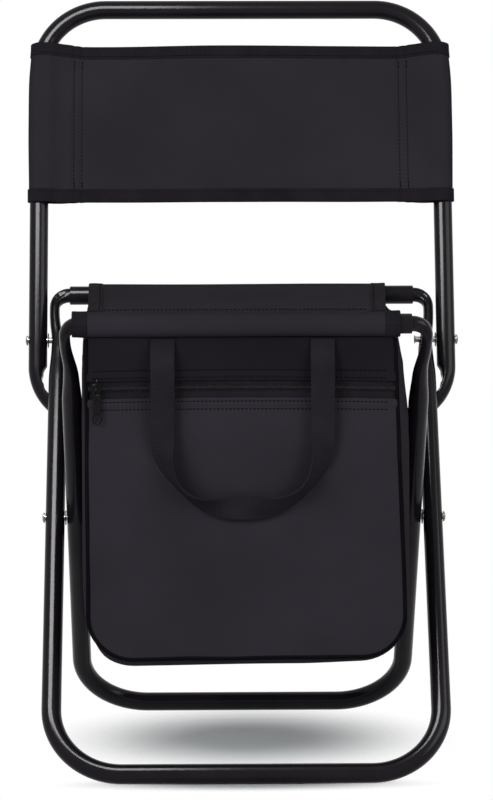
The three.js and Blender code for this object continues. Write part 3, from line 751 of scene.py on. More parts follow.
def backrest_loop():
    low = backrest_pivot - backrest_up * CROSSBAR_DROP
    side = backrest_rise + CROSSBAR_DROP - BACKREST_TOP_BEND - BACKREST_LOW_BEND
    bender = Bender("backrest_tube_painted", low, ACROSS, -backrest_back, TUBE_RADIUS)
    bender.feed(backrest_x - BACKREST_LOW_BEND, 3)
    bender.turn(BACKREST_LOW_BEND, 90, LOW_STEPS)
    bender.feed(side, 8)
    bender.turn(BACKREST_TOP_BEND, 90, 24)
    bender.feed(2 * (backrest_x - BACKREST_TOP_BEND), 6)
    bender.turn(BACKREST_TOP_BEND, 90, 24)
    bender.feed(side, 8)
    bender.turn(BACKREST_LOW_BEND, 90, LOW_STEPS)
    bender.feed(backrest_x - BACKREST_LOW_BEND, 3)
    tidy_mesh(bender.piece)
    crush_corners(bender, (bender.bends[0][::-1], bender.bends[3]))
    return dress(bender.piece, "backrest", paint, "black_paint", "backrest_tube")


print("backrest loop:", len(backrest_loop().data.polygons), "faces")

# %% [markdown]
# ## Seat bars
# The bars are plain cut lengths of tube. Feeding a ring out of the bore, round the cut edge and along the
# outside, with a resize at each edge, gives a wall with slightly broken edges.

# %% Seat bars
BAR_BORE = 6.6 * MM
BROKEN_EDGE = 0.5 * MM
BORE_SHOWN = 18 * MM


def seat_bar(name, body, bar):
    low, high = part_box(name)
    start = Vector((low.x + BORE_SHOWN, bar.y, bar.z))
    bender = Bender(name + "_painted", start, -ACROSS, Vector((0, 0, 1)), BAR_BORE)
    bender.feed(BORE_SHOWN - BROKEN_EDGE)
    bender.feed(BROKEN_EDGE, 1, BAR_BORE + BROKEN_EDGE)
    bender.heading = ACROSS.copy()
    bender.feed(0.01 * MM, 1, TUBE_RADIUS - BROKEN_EDGE)
    bender.feed(BROKEN_EDGE, 1, TUBE_RADIUS)
    bender.feed(high.x - low.x - 2 * BROKEN_EDGE, 6)
    bender.feed(BROKEN_EDGE, 1, TUBE_RADIUS - BROKEN_EDGE)
    bender.feed(0.01 * MM, 1, BAR_BORE + BROKEN_EDGE)
    bender.heading = -ACROSS
    bender.feed(BROKEN_EDGE, 1, BAR_BORE)
    bender.feed(BORE_SHOWN - BROKEN_EDGE)
    pick_up(bender.piece, "EDIT")
    bpy.ops.mesh.select_all(action="DESELECT")
    bpy.ops.mesh.select_non_manifold(extend=False)
    bpy.ops.mesh.bridge_edge_loops()
    tidy_mesh(bender.piece, 30)
    return dress(bender.piece, body, paint, "black_paint", name)


seat_bar("front_seat_bar", "rear_leg_frame", front_bar)
seat_bar("rear_seat_bar", "front_leg_frame", rear_bar)
print("seat bars are cut")

# %% [markdown]
# ## Rivets and washers
# A tubular rivet joins each pair of tubes: a domed head outside, a rolled end inside. Half of its profile
# is drawn point by point with Extrude and turned round its own axis with Spin. The washers' shape is
# right already, so they only get a finish: they are black.

# %% Rivets
HEAD_RADIUS = 4.3 * MM
HEAD_HEIGHT = 2.2 * MM
TAIL_RADIUS = 3.7 * MM
TAIL_HEIGHT = 0.9 * MM
SHANK_RADIUS = 2.5 * MM
TAIL_HOLLOW = 1.6 * MM


def rivet(node):
    low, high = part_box(node)
    centre = (low + high) / 2
    outwards = math.copysign(1, centre.x)
    tip = max(abs(low.x), abs(high.x))
    end = min(abs(low.x), abs(high.x))
    profile = [(tip, 0)]
    for number in range(1, 9):
        angle = math.pi / 2 * number / 8
        profile.append((tip - HEAD_HEIGHT * 0.8 * (1 - math.cos(angle)), HEAD_RADIUS * math.sin(angle)))
    profile += [
        (tip - HEAD_HEIGHT, HEAD_RADIUS * 0.97),
        (tip - HEAD_HEIGHT, SHANK_RADIUS),
        (end + TAIL_HEIGHT, SHANK_RADIUS),
        (end + TAIL_HEIGHT, TAIL_RADIUS * 0.92),
        (end + TAIL_HEIGHT * 0.6, TAIL_RADIUS),
        (end + TAIL_HEIGHT * 0.2, TAIL_RADIUS * 0.94),
        (end, TAIL_RADIUS * 0.75),
        (end + TAIL_HEIGHT * 0.3, TAIL_HOLLOW),
        (end + TAIL_HEIGHT * 1.5, TAIL_HOLLOW * 0.6),
        (end + TAIL_HEIGHT * 1.6, 0),
    ]
    points = [Vector((outwards * x, centre.y, centre.z + r)) for x, r in profile]
    pen = Bender(node + "_plated", points[0], ACROSS, Vector((0, 1, 0)))
    for here, there in zip(points, points[1:]):
        pen.step(there - here)
    bpy.ops.mesh.select_all(action="SELECT")
    bpy.ops.mesh.spin(steps=32, angle=2 * math.pi, center=tuple(centre), axis=(1, 0, 0))
    tidy_mesh(pen.piece, 45)
    return dress(pen.piece, "front_leg_frame", nickel, "nickel", node)


for pivot in ("leg_pivot", "backrest_pivot"):
    for side in ("left", "right"):
        rivet(f"{pivot}_rivet_{side}")
        washer = frame["nodes"][f"{pivot}_washer_{side}"]
        washer.data.materials.clear()
        washer.data.materials.append(zip_black)
print("four rivets and four washers")

# %% [markdown]
# ## Stitches
# A seam is one small thread loop repeated at an even pitch. The loop is a low sphere stretched to a
# grain, and an Array modifier repeats it along the row. Rows of one seam are joined into one piece.

# %% Stitch rows
STITCH_PITCH = 3.2 * MM
STITCH_LENGTH = 2.3 * MM
STITCH_RADIUS = 0.48 * MM


def stitch_row(start, end):
    """A straight row of stitches from start to end."""
    run = end - start
    count = max(2, round(run.length / STITCH_PITCH))
    put_down()
    turn = run.to_track_quat("X", "Z").to_euler()
    bpy.ops.mesh.primitive_uv_sphere_add(
        segments=8, ring_count=5, radius=STITCH_RADIUS, location=start, rotation=turn,
        scale=(STITCH_LENGTH / 2 / STITCH_RADIUS, 1, 1),
    )
    row = name_new("row")
    modify(
        row, "ARRAY", count=count, use_relative_offset=False, use_constant_offset=True,
        constant_offset_displace=run / count,
    )
    return row


def stitches(name, rows, bend):
    """Join rows into one piece; bend moves its points onto a curved surface."""
    piece = join([stitch_row(start, end) for start, end in rows], name)
    reshape(piece, bend)
    bpy.ops.object.shade_smooth()
    piece.data.materials.append(thread)
    return piece


print("stitches every", STITCH_PITCH / MM, "mm")

# %% [markdown]
# ## Backrest band
# The band is one strip of cloth. Each end goes round a side tube and is sewn down behind the front layer
# with two rows, which makes a pocket. Its long edges are bound with folded tape. The strip's edge is drawn
# once as a path, from seam to seam, and extruded upwards in the backrest's own plane.

# %% Backrest band and bindings
CLOTH = 1.2 * MM
POCKET_RADIUS = 9.2 * MM
SEAM_INSET = 34 * MM
POCKET_DRIFT = 3.6 * MM
TAPE_OVER = 0.8 * MM
BAND_TAPE = 11 * MM
BAND_TOP_DROP = 33.3 * MM
BAND_HEIGHT = 141 * MM
BAND_DIP = 3 * MM
SEAM_ROWS = (30 * MM, 37 * MM)
SEAM_PUCKER = 1.2 * MM
POCKET_TROUGH = 1.6 * MM
band_top = backrest_rise - BAND_TOP_DROP
band_bottom = band_top - BAND_HEIGHT


def backrest_point(x, depth, rise):
    return backrest_pivot + ACROSS * x + backrest_back * depth + backrest_up * rise


def settle_band(point):
    """The tubes hold the band up at its ends; between them it falls back and its edges give way."""
    rise = (point - backrest_pivot).dot(backrest_up)
    layer = (point - backrest_pivot).dot(backrest_back) / POCKET_RADIUS
    aside = abs(point.x)
    inset = backrest_x - aside
    slack = smooth_step(inset, 8 * MM, 44 * MM)
    middle_rise = smooth_step(inset, 44 * MM, 150 * MM)
    high = smooth_step(rise, band_bottom + BAND_HEIGHT * 0.55, band_top)
    low = smooth_step(rise, band_bottom + BAND_HEIGHT * 0.45, band_bottom)
    lift = slack * -(3.6 - 1.2 * middle_rise) * high * MM + low * (1.85 * layer - 0.65) * MM
    narrow = (0.9 * low + 2.3 * high ** 3) * MM * smooth_step(aside, backrest_x - 4 * MM, backrest_x + 6 * MM)
    back = BAND_DIP * smooth_step(inset, 5 * MM, 36 * MM) + noise.noise(point * 16) * 1.1 * MM * slack
    back += POCKET_TROUGH * smooth_step(inset, 7 * MM, 16 * MM) * (1 - smooth_step(inset, 20 * MM, 29 * MM))
    for row in SEAM_ROWS:
        back += SEAM_PUCKER * math.exp(-(((inset - row) / (1.7 * MM)) ** 2))
    return point + backrest_up * lift + backrest_back * back - ACROSS * math.copysign(narrow, point.x)


def band(name, bottom, top, rows, thickness, swell):
    radius = POCKET_RADIUS + swell
    reach = SEAM_INSET - POCKET_DRIFT
    seam_depth = -radius + CLOTH + TAPE_OVER
    slant = math.atan2(seam_depth, reach)
    touch = slant + math.acos(radius / math.hypot(reach, seam_depth))
    tangent = Vector((POCKET_DRIFT + radius * math.cos(touch), radius * math.sin(touch)))
    seam = Vector((SEAM_INSET, seam_depth))
    feed = tangent - seam
    start = backrest_point(seam.x - backrest_x, seam.y, bottom)
    heading = ACROSS * feed.x + backrest_back * feed.y
    rest = 90 - math.degrees(touch)
    pen = Bender(name, start, heading, backrest_up)
    pen.feed(feed.length, 6)
    pen.turn(radius, rest, 5)
    pen.feed(POCKET_DRIFT)
    pen.turn(radius, 180, 18)
    pen.feed(2 * backrest_x, 200)
    pen.turn(radius, 180, 18)
    pen.feed(POCKET_DRIFT)
    pen.turn(radius, rest, 5)
    pen.feed(feed.length, 6)
    pen.widen(backrest_up * (top - bottom), rows)
    tidy_mesh(pen.piece, 60)
    mark_along(pen.piece, lambda point: pen.along(point - backrest_up * (point - start).dot(backrest_up)))
    reshape(pen.piece, settle_band)
    thicken(pen.piece, thickness, SOFT_EDGE)
    return pen.piece, pen.fed


sling, sling_width = band("backrest_band", band_bottom, band_top, 30, CLOTH, 0)
dress(sling, "backrest", cloth, "cloth", "backrest_sling")
tape_thickness = CLOTH + 2 * TAPE_OVER
top_tape, _ = band("backrest_tape_top", band_top - BAND_TAPE, band_top + 0.4 * MM, 4, tape_thickness, 0)
dress(top_tape, "backrest", tape, "binding_tape", "backrest_binding_top")
tape_end = band_bottom - 0.4 * MM
low_tape, _ = band("backrest_tape_bottom", tape_end, band_bottom + BAND_TAPE, 4, tape_thickness, 0.3 * MM)
dress(low_tape, "backrest", tape, "binding_tape", "backrest_binding_bottom")
print("band cut", round(sling_width / MM), "by", round(BAND_HEIGHT / MM), "mm")

# %% Backrest stitching
EDGE_ROW = 2.2 * MM
LOCK_STEP = 0.6 * MM
LOCK_LENGTH = 8 * MM
band_face = -POCKET_RADIUS - CLOTH / 2
tape_face = -POCKET_RADIUS - tape_thickness / 2


def band_rows():
    rows = []
    for side in (-1, 1):
        for inset in SEAM_ROWS:
            x = side * (backrest_x - inset)
            low = backrest_point(x, band_face, band_bottom + BAND_TAPE)
            high = backrest_point(x, band_face, band_top - BAND_TAPE)
            rows.append((low, high))
            rows.append((low + ACROSS * LOCK_STEP, low + ACROSS * LOCK_STEP + backrest_up * LOCK_LENGTH))
            rows.append((high + ACROSS * LOCK_STEP - backrest_up * LOCK_LENGTH, high + ACROSS * LOCK_STEP))
    for rise in (band_top - BAND_TAPE + EDGE_ROW, band_bottom + BAND_TAPE - EDGE_ROW):
        left = backrest_point(-backrest_x, tape_face, rise)
        rows.append((left, backrest_point(backrest_x, tape_face, rise)))
    return rows


band_stitches = stitches("backrest_stitches", band_rows(), settle_band)
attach(band_stitches, "backrest")
print("band stitched")

# %% [markdown]
# ## Seat cloth
# The seat is a cloth panel with a pocket round each bar. The pockets turn with their own bars. The panel
# between them stays level with the bag, halfway between the two frames. Folded tape binds the side edges
# and goes on round the ends of the pockets.

# %% Seat pockets
SLEEVE_RADIUS = 9.2 * MM
RING_RADIUS = 9.4 * MM
RING = 2 * MM
SEAT_TAPE = 12 * MM
seat_low, seat_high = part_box("seat_panel")
front_pocket = (seat_low.x - 6 * MM, seat_high.x - 4 * MM)
rear_pocket = (seat_low.x - 0.5 * MM, seat_high.x - 1.4 * MM)


def tape_ring(name, body, bar, left):
    """Tape folded over one end of a pocket; its wrinkles are from sewing round a curve."""
    start = Vector((left, bar.y, bar.z))
    bender = Bender(name, start, ACROSS, Vector((0, 0, 1)), RING_RADIUS, 40)
    bender.feed(SEAT_TAPE, 12)
    tidy_mesh(bender.piece, 60)

    def wrinkle(point):
        spoke = (point - bar) * Vector((0, 1, 1))
        return point + spoke.normalized() * noise.noise(point * 90) * 0.5 * MM

    reshape(bender.piece, wrinkle)
    mark_along(bender.piece, lambda point: SLEEVE_RADIUS * math.atan2(point.z - bar.z, point.y - bar.y))
    thicken(bender.piece, RING, 0.6 * MM)
    return dress(bender.piece, body, tape, "binding_tape")


def seat_pocket(name, body, bar, ends):
    left, right = ends
    bender = Bender(name + "_cloth", Vector((left + 0.5 * MM, bar.y, bar.z)), ACROSS, Vector((0, 0, 1)),
                    SLEEVE_RADIUS, 48)
    bender.feed(right - left - MM, 60)
    tidy_mesh(bender.piece, 60)

    def slacken(point):
        spoke = ((point - bar) * Vector((0, 1, 1))).normalized()
        lump = noise.noise(Vector((point.x * 9, point.y * 60, point.z * 60)))
        return point + spoke * lump * 0.35 * MM

    reshape(bender.piece, slacken)
    thicken(bender.piece, CLOTH, SOFT_EDGE)
    dress(bender.piece, body, cloth, "cloth", name)
    rings = [
        tape_ring(name + "_tape_left", body, bar, left),
        tape_ring(name + "_tape_right", body, bar, right - SEAT_TAPE),
    ]
    return bender.piece


seat_pocket("seat_front_sleeve", "rear_leg_frame", front_bar, front_pocket)
seat_pocket("seat_rear_sleeve", "front_leg_frame", rear_bar, rear_pocket)
print("seat pockets:", [round((b - a) / MM) for a, b in (front_pocket, rear_pocket)], "mm wide")

# %% Seat panel
SEAT_SAG = 5 * MM
SEAT_LUMP = 1.2 * MM
PANEL_START = 5 * MM
TUCK = 0.5 * MM
seat_top = front_bar.z + SLEEVE_RADIUS + CLOTH / 2
panel_front = front_bar.y + PANEL_START
panel_back = rear_bar.y - PANEL_START
front_edges = (front_pocket[0] + SEAT_TAPE, front_pocket[1] - SEAT_TAPE + 1.5 * MM)


def seat_edge(side, share):
    """X of a side edge of the seat: side 0 is left and 1 is right; share goes from front to back."""
    return front_edges[side] + (rear_pocket[side] - front_edges[side]) * share


def seat_height(x, y):
    share = (y - panel_front) / (panel_back - panel_front)
    lump = noise.noise(Vector((x * 14, y * 14, 3))) * SEAT_LUMP
    held = smooth_step(min(y - panel_front, panel_back - y), 0, 25 * MM)
    sag = SEAT_SAG * smooth_step(min(share, 1 - share), 0.05, 0.4)
    return seat_top - CLOTH / 2 - sag + lump * held


def seat_sheet(name, edges, columns, thickness):
    def lay(point):
        share = point.y + 0.5
        left, right = edges(share)
        x = left + (point.x + 0.5) * (right - left)
        y = panel_front + share * (panel_back - panel_front)
        return Vector((x, y, seat_height(x, y)))

    piece = grid_sheet(name, columns, 60, lay)
    mark_along(piece, lambda point: point.y)
    thicken(piece, thickness, SOFT_EDGE)
    return piece


def press_seat(piece):
    """Give the seat piece a mesh of its own."""
    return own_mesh(piece)


def whole_width(share):
    return seat_edge(0, share) + TUCK, seat_edge(1, share) - TUCK


def left_edge(share):
    return seat_edge(0, share), seat_edge(0, share) + SEAT_TAPE


def right_edge(share):
    return seat_edge(1, share) - SEAT_TAPE, seat_edge(1, share)


seat_panel = seat_sheet("seat_panel_cloth", whole_width, 48, CLOTH)
press_seat(dress(seat_panel, "cooler_bag", cloth, "cloth", "seat_panel"))
for side, edges in (("left", left_edge), ("right", right_edge)):
    edge_tape = seat_sheet(f"seat_tape_{side}", edges, 8, CLOTH + 2 * TAPE_OVER)
    dress(edge_tape, "cooler_bag", tape, "binding_tape", f"seat_binding_{side}")
    press_seat(edge_tape)
print("seat panel", round((panel_back - panel_front) / MM), "mm deep")

# %% Seat stitching
def seat_rows():
    rows = []
    for y in (panel_front + 9 * MM, panel_front + 14 * MM, panel_back - 14 * MM):
        share = (y - panel_front) / (panel_back - panel_front)
        left = Vector((seat_edge(0, share) + SEAT_TAPE + 2 * MM, y, 0))
        rows.append((left, Vector((seat_edge(1, share) - SEAT_TAPE - 2 * MM, y, 0))))
    for side, inwards in ((0, 1), (1, -1)):
        inset = inwards * (SEAT_TAPE - 2.2 * MM)
        front = Vector((seat_edge(side, 0.02) + inset, panel_front + 5 * MM, TAPE_OVER))
        rows.append((front, Vector((seat_edge(side, 0.98) + inset, panel_back - 5 * MM, TAPE_OVER))))
    return rows


def lay_on_seat(point):
    return Vector((point.x, point.y, point.z + seat_height(point.x, point.y) + CLOTH / 2))


seat_stitches = stitches("seat_stitches", seat_rows(), lay_on_seat)
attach(seat_stitches, "cooler_bag")
press_seat(seat_stitches)
print("seat stitched in", len(seat_rows()), "rows")

# %% [markdown]
# ## Cooler bag
# The bag hangs under the front bar. Its front is two panels with the zip between them, its back slopes up
# to the rear bar, and one strip goes round sides and bottom. A bag is soft: the front is slightly crowned,
# the strip swells behind the piping and sags below.

# %% Shape of the bag
PIPING_RADIUS = 1.8 * MM
BAG_CORNER = 35 * MM
SIDE_SWELL = (7.2 * MM, 9 * MM)
FLOOR_SAG = 9.6 * MM
CROWN = 2.6 * MM
PANEL = 1.5 * MM
PRESSED = 0.172
BAG_SHIFT = 1.3 * MM
BAG_FLARE = 0.0395
BAG_LEVEL = 223.5 * MM
BAG_TILT = 2 * MM
front_low, front_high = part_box("bag_front_panel")
piping_low, piping_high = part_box("bag_piping_front")
back_low, back_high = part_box("bag_back_panel")
bag_middle = (front_low.x + front_high.x) / 2
bag_half = (front_high.x - front_low.x) / 2
bag_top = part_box("bag_upper_panel")[1].z
bag_bottom = front_low.z
bag_face = front_bar.y
seam_half = (piping_high.x - piping_low.x) / 2 - PIPING_RADIUS
seam_bottom = piping_low.z + PIPING_RADIUS
back_slope = (back_high.y - back_low.y - PANEL) / (bag_top - bag_bottom)


def back_depth(z):
    """Depth of the sloping back panel at a height."""
    return rear_bar.y - back_slope * (bag_top - z)


def hung(x, y, z):
    """A place on the sewn bag once it hangs: it narrows to the top right and its lower right is drawn up."""
    right = (1 + (x - bag_middle) / seam_half) / 2
    aside = BAG_SHIFT + BAG_FLARE * (BAG_LEVEL - z) * right
    lift = BAG_TILT * right * (1 - smooth_step(z, bag_bottom, 250 * MM))
    return Vector((x + aside, y, z + lift))


def half_width_at(z, half, corner, bottom):
    """Half width of a panel with round lower corners."""
    below = max(0, bottom + corner - z)
    return half - corner + math.sqrt(max(0, corner * corner - below * below))


def press_with_fold(piece):
    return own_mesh(piece)


print("bag", round(2 * bag_half / MM), "wide,", round((bag_top - bag_bottom) / MM), "high")

# %% [markdown]
# ### Front panels
# A grid is added at the panel's size, and each of its rows is drawn in to the panel's outline, so the
# round lower corners keep an even mesh. The edge along the zip is turned under, which shows as a low
# ridge, and soft folds run down from the seat bar where the cloth hangs.

# %% Front panels
ZIP_OPENING_TOP = 322.4 * MM
ZIP_OPENING_LOW = 308.4 * MM
FRONT_FOLDS = 1.7 * MM
FRONT_LUMPS = 0.5 * MM
HEM = 5.5 * MM
HEM_LIFT = 0.8 * MM
ZIP_BOW = 1.4 * MM
FRONT_COLUMNS = 110


def zip_bow(x):
    """The zip's line dips a little towards its ends."""
    return -ZIP_BOW * ((x - bag_middle) / bag_half) ** 2


def front_relief(x, z):
    """How far the front cloth stands forward at a place."""
    aside = min(1, abs(x - bag_middle) / bag_half)
    lift = 0.0
    if z < ZIP_OPENING_LOW + 2 * MM:
        height = (z - bag_bottom) / (ZIP_OPENING_LOW - bag_bottom)
        lift += CROWN * (1 - aside ** 4) * math.sin(math.pi * min(1, max(0, height))) ** 0.7
    drape = smooth_step(z, 210 * MM, bag_top)
    folds = noise.noise(Vector((x * 17, z * 9, 1.7))) + 0.5 * noise.noise(Vector((x * 40, z * 12, 4.1)))
    lift += FRONT_FOLDS * folds * drape * (1 - aside ** 6)
    lift += FRONT_LUMPS * noise.noise(Vector((x * 22, z * 22, 8.3))) * (1 - aside ** 8)
    return lift


def hem_relief(z, edge, into):
    """Ridge of the turned edge along the zip; into is +1 where the panel lies above the zip."""
    inside = (z - edge) * into
    fade = 1 - smooth_step(inside, HEM, HEM + 1.2 * MM)
    return HEM_LIFT * fade * smooth_step(inside, -0.5 * MM, 1.0 * MM)


def on_front(x, z, edge, into, proud):
    """A place on the front of the bag, standing proud of the cloth's middle layer."""
    near_zip = 1 - smooth_step(abs(z - edge), 0, 30 * MM)
    forward = front_relief(x, z) + hem_relief(z, edge, into) + proud
    return hung(x, bag_face - forward, z) + Vector((0, 0, zip_bow(x) * near_zip))


def front_sheet(name, bottom, top, corner, edge, into, rows):
    def hang(point):
        z = bottom + (point.y + 0.5) * (top - bottom)
        half = half_width_at(z, seam_half, corner, bottom)
        return on_front(bag_middle + 2 * point.x * half, z, edge, into, 0)

    piece = grid_sheet(name, FRONT_COLUMNS, rows, hang)
    thicken(piece, PANEL, SOFT_EDGE)
    return piece


upper_panel = front_sheet("bag_upper_cloth", ZIP_OPENING_TOP, bag_top, 0, ZIP_OPENING_TOP, 1, 60)
# The strip above the zip takes the darker cloth: painted shade under the seat bar.
dress(upper_panel, "cooler_bag", shaded_cloth, "cloth", "bag_upper_panel")
front_panel = front_sheet("bag_front_cloth", seam_bottom, ZIP_OPENING_LOW, BAG_CORNER, ZIP_OPENING_LOW, -1,
                          150)
dress(front_panel, "cooler_bag", cloth, "cloth", "bag_front_panel")
print("front panels:", len(upper_panel.data.polygons), len(front_panel.data.polygons), "faces")

# %% Front stitching
STITCH_HEIGHTS_UPPER = (330.5 * MM, 324.9 * MM)
STITCH_HEIGHTS_LOWER = (305.9 * MM, 299.6 * MM)
ROW_MARGIN = 4 * MM


def front_rows(heights):
    reach = bag_half - ROW_MARGIN
    return [(Vector((bag_middle - reach, 0, z)), Vector((bag_middle + reach, 0, z))) for z in heights]


def lay_on_front(edge, into):
    return lambda point: on_front(point.x, point.z, edge, into, PANEL / 2 - point.y)


upper_stitches = stitches("bag_upper_stitches", front_rows(STITCH_HEIGHTS_UPPER),
                          lay_on_front(ZIP_OPENING_TOP, 1))
lower_stitches = stitches("bag_front_stitches", front_rows(STITCH_HEIGHTS_LOWER),
                          lay_on_front(ZIP_OPENING_LOW, -1))
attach(upper_stitches, "cooler_bag")
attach(lower_stitches, "cooler_bag")
print("front rows at", [round(z / MM, 1) for z in STITCH_HEIGHTS_UPPER + STITCH_HEIGHTS_LOWER])

# %% [markdown]
# ### Piping, side strip and back
# Piping is a cord in a folded strip, sewn into the seam: down one side, round the corners and up the other.
# The side strip starts as the same path, extruded backwards, and is then swelled and sagged. It keeps
# within the legs, which swing past it, and below the bars, which close on it. Small patches fill its top
# corners. The back panel is a grid like the front, sheared to the slope between rear bar and bag floor.

# %% Piping and side strip
STRIP_COLUMNS = 26
CORD_SEED = 4
STRIP_EDGE = 2.1 * MM
STRIP_FOLDS = 2.2 * MM
SEAM_DROP = 1.3 * MM
BAR_ROOM = SLEEVE_RADIUS + 1.6 * MM
SEAT_AIR = 1.2 * MM
strip_width = back_depth(bag_top) - bag_face
LEG_CLEAR = 0.6 * MM


def seam_path(name, depth, radius, straight_steps):
    top = Vector((bag_middle - seam_half, depth, bag_top - SEAM_DROP))
    drop = top.z - seam_bottom - BAG_CORNER
    bender = Bender(name, top, Vector((0, 0, -1)), Vector((0, -1, 0)), radius, 12)
    bender.feed(drop, straight_steps)
    bender.turn(BAG_CORNER, 90, 14)
    bender.feed(2 * (seam_half - BAG_CORNER), straight_steps)
    bender.turn(BAG_CORNER, 90, 14)
    bender.feed(drop, straight_steps)
    return bender


def piping(name, node, sloped):
    bender = seam_path(name, bag_face, PIPING_RADIUS, 40)
    tidy_mesh(bender.piece, 60)
    mark_along(bender.piece, bender.along)

    def wander(point):
        moved = point + noise.noise_vector(point * 25) * 0.5 * MM
        if sloped:
            moved.y += back_depth(point.z) - bag_face
        return hung(*moved)

    reshape(bender.piece, wander)
    pick_up(bender.piece, "EDIT")
    bpy.ops.mesh.select_all(action="SELECT")
    bpy.ops.mesh.fill_holes(sides=0)
    bpy.ops.object.mode_set(mode="OBJECT")
    return dress(bender.piece, "cooler_bag", cord, "binding_tape", node)


def seam_outward(point):
    """Outward direction of the seam's U at a place on it."""
    corner_z = seam_bottom + BAG_CORNER
    if point.z >= corner_z:
        return Vector((math.copysign(1, point.x - bag_middle), 0, 0))
    straight = seam_half - BAG_CORNER
    inner = min(straight, max(-straight, point.x - bag_middle))
    return Vector((point.x - bag_middle - inner, 0, point.z - corner_z)).normalized()


def top_rise(x, y, share):
    """How far the strip's top edge climbs to the seat: once folded, it still clears both seat bars."""
    to_seat = seat_height(x, y) - CLOTH / 2 - SEAT_AIR - bag_top + SEAM_DROP
    from_bar = min(share, 1 - share) * PRESSED * strip_width
    beside_bar = BAR_ROOM - math.sqrt(max(0, BAR_ROOM ** 2 - from_bar ** 2))
    clear = smooth_step(from_bar, BAR_ROOM, BAR_ROOM + 3 * MM)
    return beside_bar + (to_seat - beside_bar) * clear


def leg_room(x):
    """How far the cloth may swell sideways before it meets the leg that swings past it."""
    wall = rear_leg_x - TUBE_RADIUS - PANEL / 2 - LEG_CLEAR
    return max(0, wall - abs(x))


def swell(point):
    """Shape of the side strip: point.y holds the share of the way back."""
    share = point.y
    outward = seam_outward(point)
    under = max(0, -outward.z)
    start = bag_face + STRIP_EDGE
    depth = start + (back_depth(point.z) - STRIP_EDGE - start) * share
    belly = max(0, math.sin(math.pi * share)) ** 0.6
    below = max(0, bag_top - point.z)
    full = min(1, below / (26 * MM)) ** 0.7 * smooth_step(point.z, 70 * MM, 250 * MM)
    full *= SIDE_SWELL[point.x > bag_middle] * (1 + 0.4 * smooth_step(below, 20 * MM, 75 * MM))
    puff = math.sin(math.pi * min(1, share / 0.3) / 2) * (1 - smooth_step(share, 0.18, 0.75))
    fold = noise.noise(Vector((point.x * 12, share * 4.5, point.z * 14))) * STRIP_FOLDS * belly
    place = hung(point.x, depth, point.z)
    side = min(full * puff + fold, leg_room(place.x))
    across = (point.x - bag_middle) / bag_half
    level = smooth_step(across, -1.06, -0.86) * (1 - smooth_step(across, 0.94, 1.08))
    level *= 1 - 0.25 * smooth_step(across, 0.3, 0.85)
    floor = (FLOOR_SAG * level + 0.5 * fold) * belly
    rise = top_rise(place.x, depth, share) * smooth_step(point.z, bag_top - 25 * MM, bag_top - SEAM_DROP)
    return place + Vector((0, 0, rise)) + outward * (side * (1 - under) + floor * under)


def side_strip():
    pen = seam_path("bag_side_strip", 0, 0, 36)
    pen.widen(Vector((0, 1, 0)), STRIP_COLUMNS)
    reshape(pen.piece, swell)
    tidy_mesh(pen.piece, 60)
    thicken(pen.piece, PANEL, SOFT_EDGE)
    return pen


# The cords wander by a drawn noise. The seed makes every run draw the same one.
noise.seed_set(CORD_SEED)
piping("bag_front_cord", "bag_piping_front", False)
back_piping = piping("bag_back_cord", "bag_piping_back", True)
press_with_fold(back_piping)
strip_pen = side_strip()
strip = dress(strip_pen.piece, "cooler_bag", cloth, "cloth", "bag_gusset")
press_with_fold(strip)

# %% Corner patches
TAB_NEAR = 10.6 * MM
TAB_FAR = 68 * MM
TAB_INSIDE = 3.2 * MM
TAB_LOW = bag_top - 9 * MM
TAB_HIGH = bag_top + 14 * MM
TAB_CORNERS = {
    "bag_tab_front_left": (-1, front_bar.y, 1, 11.2 * MM),
    "bag_tab_front_right": (1, front_bar.y, 1, 11.2 * MM),
    "bag_tab_rear_left": (-1, rear_bar.y, -1, 23.8 * MM),
    "bag_tab_rear_right": (1, rear_bar.y, -1, 23.8 * MM),
}


def corner_tab(name, side, bar_y, away, gather):
    """Patch that closes a top corner of the bag beside a seat bar."""
    def lay(point):
        y = bar_y + away * (TAB_NEAR + (TAB_FAR - TAB_NEAR) * (point.x + 0.5))
        share = (y - bag_face) / strip_width
        place = swell(Vector((bag_middle + side * seam_half, share, bag_top - SEAM_DROP)))
        return Vector((place.x - side * TAB_INSIDE, y, TAB_LOW + (TAB_HIGH - TAB_LOW) * (point.y + 0.5)))

    piece = grid_sheet(name, 16, 8, lay)
    thicken(piece, CLOTH, 0.2 * MM)
    piece.data.materials.append(cloth)
    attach(piece, "cooler_bag")
    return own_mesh(piece)


corner_tabs = [corner_tab(name, *place) for name, place in TAB_CORNERS.items()]
print("corner patches:", len(corner_tabs))

# %% Back panel
BACK_BILLOW = 5 * MM


def back_sheet():
    def hang(point):
        z = seam_bottom + (point.y + 0.5) * (bag_top - seam_bottom)
        x = bag_middle + 2 * point.x * half_width_at(z, seam_half, BAG_CORNER, seam_bottom)
        inner = (1 - (2 * point.x) ** 4) * math.sin(math.pi * (point.y + 0.5)) ** 0.6
        billow = inner * (BACK_BILLOW + 2 * MM * noise.noise(Vector((x * 14, 2.2, z * 14)))) / 2
        return hung(x, back_depth(z) + billow, z - billow)

    piece = grid_sheet("bag_back_cloth", 80, 110, hang)
    thicken(piece, PANEL, SOFT_EDGE)
    return piece


back_panel = dress(back_sheet(), "cooler_bag", cloth, "cloth", "bag_back_panel")
press_with_fold(back_panel)

# %% [markdown]
# ### Lining
# Inside is a tub of thin foam with a silvery film. It starts as a box whose points are moved to the bag's
# slope; the top is deleted, the edges are bevelled and the wall gets its thickness.

# %% Lining
LINING = 3 * MM


